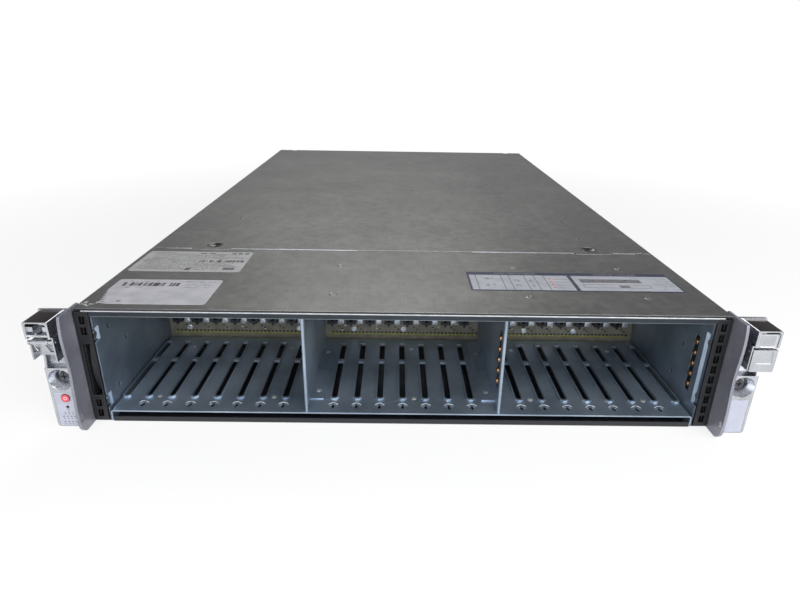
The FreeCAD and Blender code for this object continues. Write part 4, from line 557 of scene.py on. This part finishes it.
def label_sheet(name, low, high, inks, paper, inks_of, corner=2.0, tear=None):
    """Sheet on the front cover from low to high (x, y in mm), with a face for each number in inks.

    Each row's ends move in by corner - sqrt(corner^2 - d^2), d being how far the row is into the corner,
    and tear(y) moves the left end further. inks holds the colour number of each face.
    """
    rows, columns = inks.shape
    x = np.linspace(low[0], high[0], columns + 1)
    y = np.linspace(low[1], high[1], rows + 1)
    into = np.clip(corner - np.minimum(y - low[1], high[1] - y), 0, corner)
    inset = corner - np.sqrt(corner ** 2 - into ** 2)
    left = low[0] + inset + (0 if tear is None else tear(y))
    right_end = high[0] - inset
    grid = np.empty((1, rows + 1, columns + 1, 3))
    grid[0, ..., 0] = np.clip(x[None], left[:, None], right_end[:, None])
    grid[0, ..., 1] = y[:, None]
    grid[0, ..., 2] = TOP_FACE + LABEL_LIFT
    sheet = surface(name, grid, paper, "front_cover", replaced=False, inks=inks, inks_of=inks_of)
    wall = sheet.modifiers.new("paper", "SOLIDIFY")
    wall.thickness = LABEL_LIFT * MM
    wall.offset = -1
    return sheet


def ruled(draw, rows, columns, first, last, fill=0.62, word=5):
    """Rows of generic marks from column first to last: random marks, with a gap after every few of them."""
    marks = np.zeros((rows, columns), bool)
    width = last - first
    gaps = np.repeat(draw.random((rows, width // word + 1)) < 0.8, word, axis=1)[:, :width]
    marks[:, first:last] = (draw.random((rows, width)) < fill) & gaps
    return marks


print("label helpers ready")

# %% [markdown]
# Each label's print is an array with one number for each small face. Random draws fill the rows, from one
# seed, so that the print is the same every time.

# %% Labels and flecks
draw = np.random.default_rng(20)
COARSE = 0.75  # mm, width of a mark in plain print
FINE = 0.5     # and in small print

# the far left one: rows of small print, a row of upright bars, a few bold boxes at its upper right
rows, columns = int(50 / FINE), int(87 / FINE)
inks = np.zeros((rows, columns), np.int32)
for r in range(9, rows - 14, 5):
    first = 14 if r > 60 else 8
    stop = columns - int(draw.integers(6, 40))
    inks[r:r + 2][ruled(draw, 2, columns, first, stop, 0.62, 9)] = 1
inks[46:56, 92:168] = np.where(draw.random(76) < 0.6, 1, 0)
for c0, c1, r0, r1 in ((86, 96, 88, 93), (102, 112, 88, 93), (118, 128, 83, 85), (140, 147, 87, 94),
                       (150, 157, 87, 94), (161, 168, 87, 94), (10, 46, 90, 92), (144, 162, 10, 20),
                       (86, 94, 6, 18)):
    inks[r0:r1, c0:c1] = np.where(draw.random((r1 - r0, c1 - c0)) < 0.7, 1, 2)
label_sheet("label_far_left", (-214.0, FRONT_EDGE + 73), (-127.0, FRONT_EDGE + 123), inks, paper_silver,
            (ink_dark, ink_grey), corner=3.0)

# the near left one: a row of upright bars, then bare, faded paper
rows, columns = int(47 / COARSE), int(76 / COARSE)
inks = np.zeros((rows, columns), np.int32)
bars = draw.random(columns) < 0.72
inks[44:53, 8:62][:, bars[8:62]] = 1
inks[55:57][ruled(draw, 2, columns, 10, 40)] = 2
inks[55:57][ruled(draw, 2, columns, 60, 96)] = 2
for r in (46, 49, 41):
    inks[r][ruled(draw, 1, columns, 68, 92)[0]] = 2
inks[39:41][ruled(draw, 2, columns, 8, 30)] = 2
inks[5:8, 20:24] = 2


def torn_edge(y):
    """Left end of the torn label: it comes in towards the front, in steps made of two out-of-step waves."""
    near = np.clip((FRONT_EDGE + 34 - y) / 26, 0, 1)
    return near * (7 + 3.2 * np.sin(y * 1.9) + 2.2 * np.sin(y * 4.3 + 1))


label_sheet("label_near_left", (-210.0, FRONT_EDGE + 8), (-134.0, FRONT_EDGE + 55), inks, paper_white,
            (ink_dark, ink_grey), corner=2.0, tear=torn_edge)

# the right pair: navy frame and header, ruled boxes
for half, (x0, x1) in enumerate(((49.0, 128.0), (128.0, 206.0))):
    rows, columns = int(39.5 / COARSE), int((x1 - x0) / COARSE)
    inks = np.full((rows, columns), 3, np.int32)
    inks[2:-9, 2:-2] = 0
    head = np.zeros(columns, bool)
    head[28:72] = (draw.random(44) < 0.75)
    inks[-6:-3, head] = 2
    if half == 0:
        for c in (8, 34, 42, 58, 68, 78):
            inks[2:-9, c] = 2
        for r0, c0, r1, c1 in ((30, 14, 36, 26), (12, 16, 17, 20), (12, 23, 17, 26), (24, 46, 30, 52),
                               (12, 46, 18, 53), (24, 61, 31, 66), (10, 62, 17, 65)):
            inks[r0:r1, c0:c1] = np.where(draw.random((r1 - r0, c1 - c0)) < 0.5, 2, 0)
        for r in range(8, 40, 8):
            inks[r:r + 3, 82:85] = 4
            inks[r, 86:102] = 2
    else:
        inks[24:34, 8:70] = np.where(draw.random((10, 62)) < 0.85, 2, 1)
        inks[10:18, 8] = inks[10:18, 74] = 2
        inks[10, 8:75] = inks[18, 8:75] = 2
        inks[11:17, 44:54] = 2
        for r in range(8, 40, 7):
            inks[r][ruled(draw, 1, columns, 80, 100)[0]] = 2
    label_sheet("label_right_%d" % (half + 1), (x0, FRONT_EDGE + 41.5), (x1, FRONT_EDGE + 81), inks,
                paper_grey, (ink_dark, ink_grey, ink_navy, ink_red), corner=0.6)

# flecks of torn paper that stayed on the cover beside the torn label
spots = draw.uniform((-216.5, FRONT_EDGE + 3, 0.8, 0.5), (-206.0, FRONT_EDGE + 15, 2.2, 1.3), (11, 4))
turn = np.linspace(0, 2 * np.pi, 8, endpoint=False)
ragged = draw.uniform(0.6, 1.2, (11, 8))
fleck = np.zeros((11, 8, 2, 3))
fleck[..., 2] = TOP_FACE + LABEL_LIFT
fleck[..., 0] = spots[:, None, None, 0]
fleck[..., 1] = spots[:, None, None, 1]
fleck[..., 1, 0] += spots[:, None, 2] * ragged * np.cos(turn)
fleck[..., 1, 1] += spots[:, None, 3] * ragged * np.sin(turn)
flecks = surface("paper_flecks", fleck, paper_white, "front_cover", wrap=(True, False), replaced=False)
wall = flecks.modifiers.new("paper", "SOLIDIFY")
wall.thickness = LABEL_LIFT * MM
wall.offset = -1
print("four label sheets and their flecks")

# %% [markdown]
# ## Blocks with soft edges
# Connectors, chokes, chips and pads are boxes with rounded edges. The outline of a rounded rectangle is
# carried up a short profile that draws in at the top, so one function makes any number of them at once.

# %% Rounded blocks
def blocks(name, boxes, profile, facing, finish, node, corner=0.4, arc=3, **more):
    """Rounded rectangles carried along a profile of (inset, height) in mm.

    Each row of boxes is (x, y, z, half width, half length): a middle on the face that carries the block,
    and its half sizes across the facing direction. A corner point lies at (half - corner) + (corner -
    inset) cos t.
    """
    boxes = np.array(boxes, float)
    inset, height = np.array(profile, float).T
    quarter = np.linspace(0, np.pi / 2, arc + 1)
    turn = np.concatenate([quarter + k * np.pi / 2 for k in range(4)])
    sign_a = np.repeat([1, -1, -1, 1], arc + 1)
    sign_b = np.repeat([1, 1, -1, -1], arc + 1)
    radius = np.maximum(corner - inset, 0)
    over = np.minimum(corner - inset, 0)
    a = sign_a[:, None] * (boxes[:, 3, None, None] - corner + over) + radius * np.cos(turn)[:, None]
    b = sign_b[:, None] * (boxes[:, 4, None, None] - corner + over) + radius * np.sin(turn)[:, None]
    along = "xyz".index(facing[1])
    sign = 1 if facing[0] == "+" else -1
    first, second = {0: (1, 2), 1: (0, 2), 2: (0, 1)}[along]
    grid = np.zeros((*a.shape, 3))
    grid[..., first] = boxes[:, first, None, None] + a
    grid[..., second] = boxes[:, second, None, None] + b
    grid[..., along] = boxes[:, along, None, None] + sign * height
    bottom, top = [np.broadcast_to(grid[:, :, end].mean(1)[:, None, None], (*grid.shape[:2], 1, 3))
                   for end in (0, -1)]
    grid = np.concatenate([bottom, grid, top], 2)
    return surface(name, grid, finish, node, wrap=(True, False), **more)


def block_profile(height, bead=0.25, root=0.2):
    """Straight wall from root below the face to a small chamfer of bead at the top."""
    return [(0, -root), (0, height - bead), (bead * 0.3, height - bead * 0.3), (bead, height)]


print("blocks ready")

# %% [markdown]
# ## Backplane parts
# Between the drive connectors sit chokes in bright metal cans, and small chips and resistors. Screws hold the
# board, and along its foot runs a row of plated slots that lets air through to the fans; each opening is a
# black block on the board's face, a painted shade.

# %% Backplane
BOARD_FACE = -242.0
bays = [group * GROUP_PITCH + (k - 3.5) * BAY_PITCH - 3.2 for group in (-1, 0, 1) for k in range(8)]
cans = [(x + 7.6, BOARD_FACE, 26.0, 2.6, 3.2) for x in bays]
cans = [c for c in cans if abs(abs(c[0]) - DIVIDER_X) > 6 and abs(c[0]) < 204]
blocks("choke_cans", cans, block_profile(2.6, 0.4), "-y", bright_zinc, "backplane_board", 0.8, replaced=False)
chip_spots = [(x + 7.0 + d, BOARD_FACE, z, 0.9, 0.5) for x in bays
              for d, z in ((-1.2, 19.4), (1.4, 17.4), (-0.4, 34.0))
              if abs(abs(x + 7.0) - DIVIDER_X) > 5 and abs(x + 7.0) < 203]
blocks("chip_resistors", chip_spots, block_profile(0.5, 0.1), "-y", finishes["black_plastic"],
       "backplane_board", 0.1, 1, replaced=False)
tinned = grained("tinned_pad", "#c9c7b4", "#deddcd", 3.0, (0.3, 0.45), 0.4, metallic=0.4)
finger_gold = grained("plated_board_slot", "#6d7036", "#8c8f45", 3.0, (0.35, 0.5), 0.4, metallic=0.3)
draw = np.random.default_rng(7)
PADS = 150
pad_spots = np.column_stack([draw.uniform(-205, 205, PADS), np.full(PADS, BOARD_FACE),
                             draw.uniform(15, 40, PADS), draw.uniform(0.4, 0.9, PADS),
                             draw.uniform(0.3, 0.6, PADS)])
from_bay = np.abs((pad_spots[:, 0, None] - np.array(bays)[None])).min(1)
pad_spots = pad_spots[(from_bay > 5.2) & (np.abs(np.abs(pad_spots[:, 0]) - DIVIDER_X) > 3)]
blocks("tinned_pads", pad_spots, block_profile(0.12, 0.04), "-y", tinned, "backplane_board", 0.1, 1,
       replaced=False)
foot_x = np.arange(-203.0, 204.0, 3.4)
foot_x = foot_x[np.abs(np.abs(foot_x) - DIVIDER_X) > 2.5]
ones = np.ones_like(foot_x)
blocks("foot_pads", np.column_stack([foot_x, ones * BOARD_FACE, ones * 12.3, ones * 1.3, ones * 0.95]),
       block_profile(0.25, 0.1), "-y", finger_gold, "backplane_board", 0.3, 1, replaced=False)
# black blocks for the slot openings: painted shade
blocks("foot_slot_shadows", np.column_stack([foot_x + 1.7, ones * BOARD_FACE, ones * 14.1, ones * 1.1, ones * 0.75]),
       block_profile(0.3, 0.1), "-y", finishes["black_plastic"], "backplane_board", 0.3, 1, replaced=False)
pan_outline = [(0, 0.5), (0.9, 0.5), (1.1, 1.3), (1.8, 1.35), (2.4, 1.0), (2.6, 0.4), (2.6, -0.3), (0, -0.3)]
board_screws = [(x, BOARD_FACE, 17.4) for x in (-190.0, -92.0, -43.0, 1.6, 110.0, 155.0)]
turned("backplane_screws", pan_outline, board_screws, "-y", bright_zinc, "backplane_board", 16,
       replaced=False)
print(len(cans), "cans,", len(pad_spots), "pads,", len(foot_x), "foot slots")

# %% [markdown]
# ## Spring fingers in the cage floor
# A small finger is lanced out of the floor in front of every guide slot and bent up into an arch. It grounds
# the drive tray that slides over it. The arch is a parabola across, drawn out a little along the floor.

# %% Spring fingers
finger_x = [group * GROUP_PITCH + (k - 4) * BAY_PITCH for group in (-1, 0, 1) for k in range(1, 8)]
across = np.linspace(-1, 1, 9)
lengthways = np.linspace(0, 1, 3)
arch = np.empty((len(finger_x), 9, 3, 3))
arch[..., 0] = np.array(finger_x)[:, None, None] + across[:, None] * (3.7 - 0.9 * lengthways)
arch[..., 1] = FRONT_EDGE + 10.4 + lengthways * 1.4 + 0.8 * (1 - across[:, None] ** 2)
arch[..., 2] = 9.55 + 1.0 * (1 - across[:, None] ** 2) * (1 - 0.25 * lengthways)
fingers = surface("spring_fingers", arch, bright_zinc, "cage_floor", replaced=False)
wall = fingers.modifiers.new("leaf", "SOLIDIFY")
wall.thickness = 0.3 * MM
wall.offset = 0
print(len(finger_x), "spring fingers")

# %% [markdown]
# ## Lines along the sheets
# Where two sheets meet, a bright strip stands for the line of light along the edge, a painted highlight:
# along the joint of the two covers, and along the top of the cage. The joint's strip stops short of the press
# buttons. A black strip on the cover's front edge is a painted shadow, for the gap above the cage top.

# %% Painted highlights and the painted shadow
# the joint's highlight strip lies wholly on the front cover, clear of the notches for the buttons
JOINT_HIGHLIGHT_MIDDLE = JOINT - 0.65
joint_highlight_spans = [(-205.0, -183.0), (-149.0, -40.0), (60.0, 149.0), (183.0, 203.0)]
blocks("joint_highlight_strips", [((a + b) / 2, JOINT_HIGHLIGHT_MIDDLE, TOP_FACE, (b - a) / 2, 0.6) for a, b in joint_highlight_spans],
       [(0, -0.3), (0, 0.04), (0.1, 0.1)], "+z", bright_zinc, "front_cover", 0.5, replaced=False)
# a bright strip along the cage top's front: painted highlight of its bend
blocks("cage_top_highlight_strip", [(0, FRONT_EDGE, 86.0, 213.0, 0.4)], [(0, -0.2), (0, 0.1), (0.2, 0.3)], "-y",
       bright_zinc, "cage_top", 0.35, replaced=False)
# a black strip on the cover's front edge: painted shadow of the gap above the cage top
blocks("cover_edge_shadow_strip", [(0, FRONT_EDGE, 87.05, 217.0, 0.55)], [(0, -0.2), (0, 0.03), (0.05, 0.08)], "-y",
       cover_edge_shadow, "front_cover", 0.3, replaced=False)
print(len(joint_highlight_spans), "hems along the joint")

# %% [markdown]
# ## Marks on the control panel
# Above each little lamp the film carries a small printed mark. They are plain bars and dots of ink.

# %% Panel marks
PANEL_FACE_Y = -371.6
marks = [(-231.8, PANEL_FACE_Y, 14.5, 1.1, 0.15)]
marks += [(-231.8 + dx, PANEL_FACE_Y, 11.9, 0.8, 0.15) for dx in (-2.6, 0, 2.6)]
marks += [(-231.8 + dx + shift, PANEL_FACE_Y, z + up_mm, w, h)
          for z in (8.6, 4.3) for dx in (-3.9, -1.3, 1.3, 3.9)
          for shift, up_mm, w, h in ((-0.3, 0.0, 0.6, 0.22), (0.25, 0.4, 0.35, 0.18))]
blocks("panel_marks", marks, block_profile(0.03, 0.01, 0.02), "-y", ink_dark, "control_panel", 0.1, 1,
       replaced=False)
print(len(marks), "marks")

# %% [markdown]
# ## Perforated slot covers
# The seven blanks over the card slots are plated sheet with rows of round holes for air. Each hole sits in
# its own square cell: a ring of points on the hole's edge is joined to a ring on the cell's outline, and the
# cells meet, so a plate of any size is one repeated shape. The blank's plain ends are soft-edged blocks.

# %% Slot covers
SLOT_FACE = 362.6
BLANK_SHEET = 0.8
BLANK_BACK = SLOT_FACE - BLANK_SHEET
CELL = 3.6       # one hole and the metal round it
CELLS = (4, 17)  # across and up
MESH_LOW = 13.4
MESH_TOP = MESH_LOW + CELLS[1] * CELL


def perforated(name, low, counts, pitch, hole, front, back_face, finish, node, **more):
    """Plate of square cells in the x-z plane, each with a round hole.

    On a square of half size h the outline point at angle t is (cos t, sin t) * h / max(|cos t|, |sin t|), and
    on the hole it is (cos t, sin t) * hole. Columns run outline back, outline front, hole front, hole back.
    """
    turn = np.arange(16) * np.pi / 8 + np.pi / 4
    round_x, round_z = np.cos(turn), np.sin(turn)
    reach = pitch / 2 / np.maximum(abs(round_x), abs(round_z))
    radius = np.stack([reach, reach, np.full(16, hole), np.full(16, hole)], 1)
    depth = np.array([back_face, front, front, back_face])
    across, high = [(np.arange(n) + 0.5) * pitch for n in counts]
    cells = np.empty((len(low), counts[1], counts[0], 16, 4, 3))
    corner_x = np.array([c[0] for c in low])[:, None, None, None, None]
    corner_z = np.array([c[1] for c in low])[:, None, None, None, None]
    cells[..., 0] = corner_x + across[None, None, :, None, None] + radius * round_x[:, None]
    cells[..., 1] = depth
    cells[..., 2] = corner_z + high[None, :, None, None, None] + radius * round_z[:, None]
    return surface(name, cells.reshape(-1, 16, 4, 3), finish, node, wrap=(True, True), **more)


blank_x = [-57.0 - 20.32 * k for k in range(7)]
# the dressed copy of the CAD blanks stands in the same place and closes these holes
perforated("slot_cover_mesh", [(x - 2 * CELL, MESH_LOW) for x in blank_x], CELLS, CELL, 1.25, SLOT_FACE,
           BLANK_BACK, finishes["plated_steel"], "slot_covers")
frame_bars = []
for x in blank_x:
    frame_bars += [(x, BLANK_BACK, (6.0 + MESH_LOW) / 2, 9.2, (MESH_LOW - 6.0) / 2),
                   (x, BLANK_BACK, (83.0 + MESH_TOP) / 2, 9.2, (83.0 - MESH_TOP) / 2),
                   (x - 8.2, BLANK_BACK, (MESH_LOW + MESH_TOP) / 2, 1.0, (MESH_TOP - MESH_LOW) / 2),
                   (x + 8.2, BLANK_BACK, (MESH_LOW + MESH_TOP) / 2, 1.0, (MESH_TOP - MESH_LOW) / 2)]
blocks("slot_cover_frames", frame_bars, [(0, 0), (0, BLANK_SHEET - 0.1), (0.1, BLANK_SHEET)], "+y",
       finishes["plated_steel"], "slot_covers", 0.1, 1, replaced=False)
blocks("slot_cover_tabs", [(x, 357.2, 82.4, 9.2, 4.6) for x in blank_x], [(0, 0), (0, 0.5), (0.1, 0.6)], "+z",
       finishes["plated_steel"], "slot_covers", 0.6, replaced=False)
blocks("slot_cover_screws", [(x, 357.2, 83.0, 2.4, 2.4) for x in blank_x], block_profile(1.4, 0.5), "+z",
       driver_steel, "slot_covers", 2.4, 4, replaced=False)
print(len(blank_x), "blanks with", CELLS[0] * CELLS[1], "holes each")

# %% [markdown]
# ## Port tongues, panel screws and supply lamps
# Inside each port shell sits an insert, most with a tinned contact tongue. Pan-head screws hold the rear
# panel, and each supply has a small round lamp low down on its rear face.

# %% Ports
INSERT_BASE = 350.0
tall_ports = [(-22.0, 7.6, z0, z1) for z0, z1 in ((10.6, 24.6), (26.6, 40.8))]
tall_ports += [(-3.5, 6.2, z0, z1) for z0, z1 in ((10.6, 16.4), (17.6, 23.6), (24.8, 30.6), (31.8, 37.8))]
low_pair = [(80.5, 7.0, 10.8, 21.6), (99.5, 7.0, 10.8, 21.6)]
inserts = [(x, INSERT_BASE, (z0 + z1) / 2, w, (z1 - z0) / 2) for x, w, z0, z1 in tall_ports + low_pair]
blocks("port_inserts", inserts, [(0, 0), (0, 8.4), (0.3, 8.8)], "+y", finishes["black_plastic"],
       "port_shells", 0.5, replaced=False)
tongues = [(x, INSERT_BASE + 8.6, (z0 + z1) / 2 + 0.8, w * 0.72, 0.7) for x, w, z0, z1 in tall_ports[2:]]
tongues += [(x, INSERT_BASE + 8.6, z1 - 1.6, w * 0.5, 0.5) for x, w, z0, z1 in tall_ports[:2] + low_pair]
blocks("port_tongues", tongues, [(0, 0), (0, 3.6), (0.15, 3.8)], "+y", tinned, "port_shells", 0.2, 2,
       replaced=False)
video_blue = grained("blue_port_insert", "#27406e", "#304c80", 5.0, (0.4, 0.5), 0.5, metallic=0.0)
serial_teal = grained("teal_port_insert", "#2c6560", "#38756f", 5.0, (0.4, 0.5), 0.5, metallic=0.0)
post_outline = [(0, 0.6), (1.3, 0.6), (1.3, 1.8), (2.2, 1.8), (2.3, 1.6), (2.3, -0.4), (0, -0.4)]
for x, finish, label in ((21.5, video_blue, "video"), (54.5, serial_teal, "serial")):
    blocks("%s_port_insert" % label, [(x, INSERT_BASE, 15.4, 9.4, 3.8)], [(0, 0), (0, 11.6), (0.4, 12.0)],
           "+y", finish, "port_shells", 1.6, 4, replaced=False)
    pins = [(x + dx, INSERT_BASE + 12.0, z) for z in (17.4, 15.4, 13.4) for dx in np.linspace(-6.4, 6.4, 5)]
    turned("%s_port_pins" % label, [(0, 0.12), (0.5, 0.12), (0.5, -0.1), (0, -0.1)], pins, "+y",
           finishes["black_plastic"], "port_shells", 8, replaced=False)
    turned("%s_port_posts" % label, post_outline, [(x + side * 12.2, 361.0, 15.4) for side in (-1, 1)], "+y",
           finishes["plated_steel"], "port_shells", 6, replaced=False)
print(len(inserts), "inserts and two round-post ports")

# %% [markdown]
# The panel's screws and the supplies' lamps are turned pieces, like the cover's screws.

# %% Rear screws and lamps
panel_screw = [(0, 0.3), (0.7, 0.3), (0.9, 1.0), (1.6, 0.95), (2.2, 0.6), (2.5, 0.0), (2.5, -0.3), (0, -0.3)]
# the upper row fits between the vents and the cover's lip
panel_places = [(x, 363.6, 82.3) for x in (-208.0, -128.0, -48.0, 32.0, 112.0)]
panel_places += [(x, 363.6, 4.6) for x in (-208.0, 120.0)]
turned("rear_panel_screws", panel_screw, panel_places, "+y", driver_steel, "rear_panel", 16, replaced=False)
lamp_green = grained("green_lamp_lens", "#4f8f52", "#63a866", 2.0, (0.15, 0.2), 0.5, metallic=0.0, bump=0.0)
for number, low_z in ((1, 1.6), (2, 43.4)):
    turned("supply_lamp_%d" % number, [(0, 0.5), (0.9, 0.4), (1.4, 0.0), (1.4, -0.3), (0, -0.3)],
           [(176.6, 363.6, low_z + 6.0)], "+y", lamp_green, "power_supply_%d" % number, 14, replaced=False)
print("rear screws and lamps ready")

# %% [markdown]
# ## Floor and light
# A plain white table and a plain white room. Near the server the floor takes its soft shadow; further off it
# fades into the backdrop, so no line shows between the two.

# %% Stage
floor_mesh = bpy.data.meshes.new("floor")
floor_mesh.from_pydata([(-6, -4, 0), (6, -4, 0), (6, 12, 0), (-6, 12, 0)], [], [(0, 1, 2, 3)])
floor = bpy.data.objects.new("floor", floor_mesh)
bpy.context.scene.collection.objects.link(floor)
floor_mat, tree, shader = blank("white_table")
shader.inputs["Base Color"].default_value = srgb("#f0f0f0")
shader.inputs["Roughness"].default_value = 0.9
where = add(tree, "TexCoord").outputs["Object"]
reach = add(tree, "VectorMath", {"operation": "LENGTH"}, _0=where).outputs["Value"]
fade = spread(tree, reach, 0.72, 1.0, 0.42, 0.85)
white = add(tree, "Emission", Color=(1, 1, 1, 1), Strength=1.0)
rays = add(tree, "LightPath")
seen = add(tree, "Math", {"operation": "MAXIMUM"}, _0=rays.outputs["Is Camera Ray"],
           _1=rays.outputs["Is Glossy Ray"])
both = add(tree, "Math", {"operation": "MULTIPLY"}, _0=seen.outputs[0], _1=fade)
mix = add(tree, "MixShader", _0=both.outputs[0], _1=shader.outputs[0], _2=white.outputs[0])
tree.links.new(mix.outputs[0], tree.nodes["Material Output"].inputs["Surface"])
floor_mesh.materials.append(floor_mat)

world = bpy.data.worlds.new("white_room")
world.use_nodes = True
bpy.context.scene.world = world
tree = world.node_tree
tree.nodes.clear()
direction = add(tree, "TexCoord").outputs["Generated"]
height = add(tree, "SeparateXYZ", Vector=direction).outputs["Z"]
room = ramp(tree, spread(tree, height, 0.0, 1.0, -0.1, 1.0),
            [(0.0, "#ffffff"), (0.16, "#e9e9e9"), (0.36, "#8b8c8f"), (1.0, "#77797d")])
rays = add(tree, "LightPath")
seen = rays.outputs["Is Camera Ray"]
lit = add(tree, "Background", Color=room, Strength=0.9)
shown = add(tree, "Background", Color=(1, 1, 1, 1), Strength=1.0)
mix = add(tree, "MixShader", _0=seen, _1=lit.outputs[0], _2=shown.outputs[0])
add(tree, "OutputWorld", Surface=mix.outputs[0])


def soft_light(name, place, aim, size, watts, height=None):
    """Panel lamp at place that faces aim, size metres wide and height metres high."""
    lamp = bpy.data.lights.new(name, "AREA")
    lamp.shape = "RECTANGLE"
    lamp.size = size
    lamp.size_y = height or size
    lamp.energy = watts
    holder = bpy.data.objects.new(name, lamp)
    bpy.context.scene.collection.objects.link(holder)
    direction = Vector(aim) - Vector(place)
    holder.location = place
    holder.rotation_mode = "QUATERNION"
    holder.rotation_quaternion = direction.to_track_quat("-Z", "Y")
    return holder


soft_light("front_high", (-0.4, -1.7, 1.4), (0, -0.3, 0.05), 1.8, 11.0)
# seen low from behind, the covers mirror this second lamp and clip to white
soft_light("into_the_cage", (0.35, -1.25, 0.66), (-0.02, -0.33, 0.03), 2.4, 29.0, 1.1)
soft_light("over_rear", (-0.1, 1.1, 1.5), (-0.05, -0.1, 0.08), 0.9, 9.0)
bpy.context.scene.view_settings.view_transform = "Standard"
print("stage set")
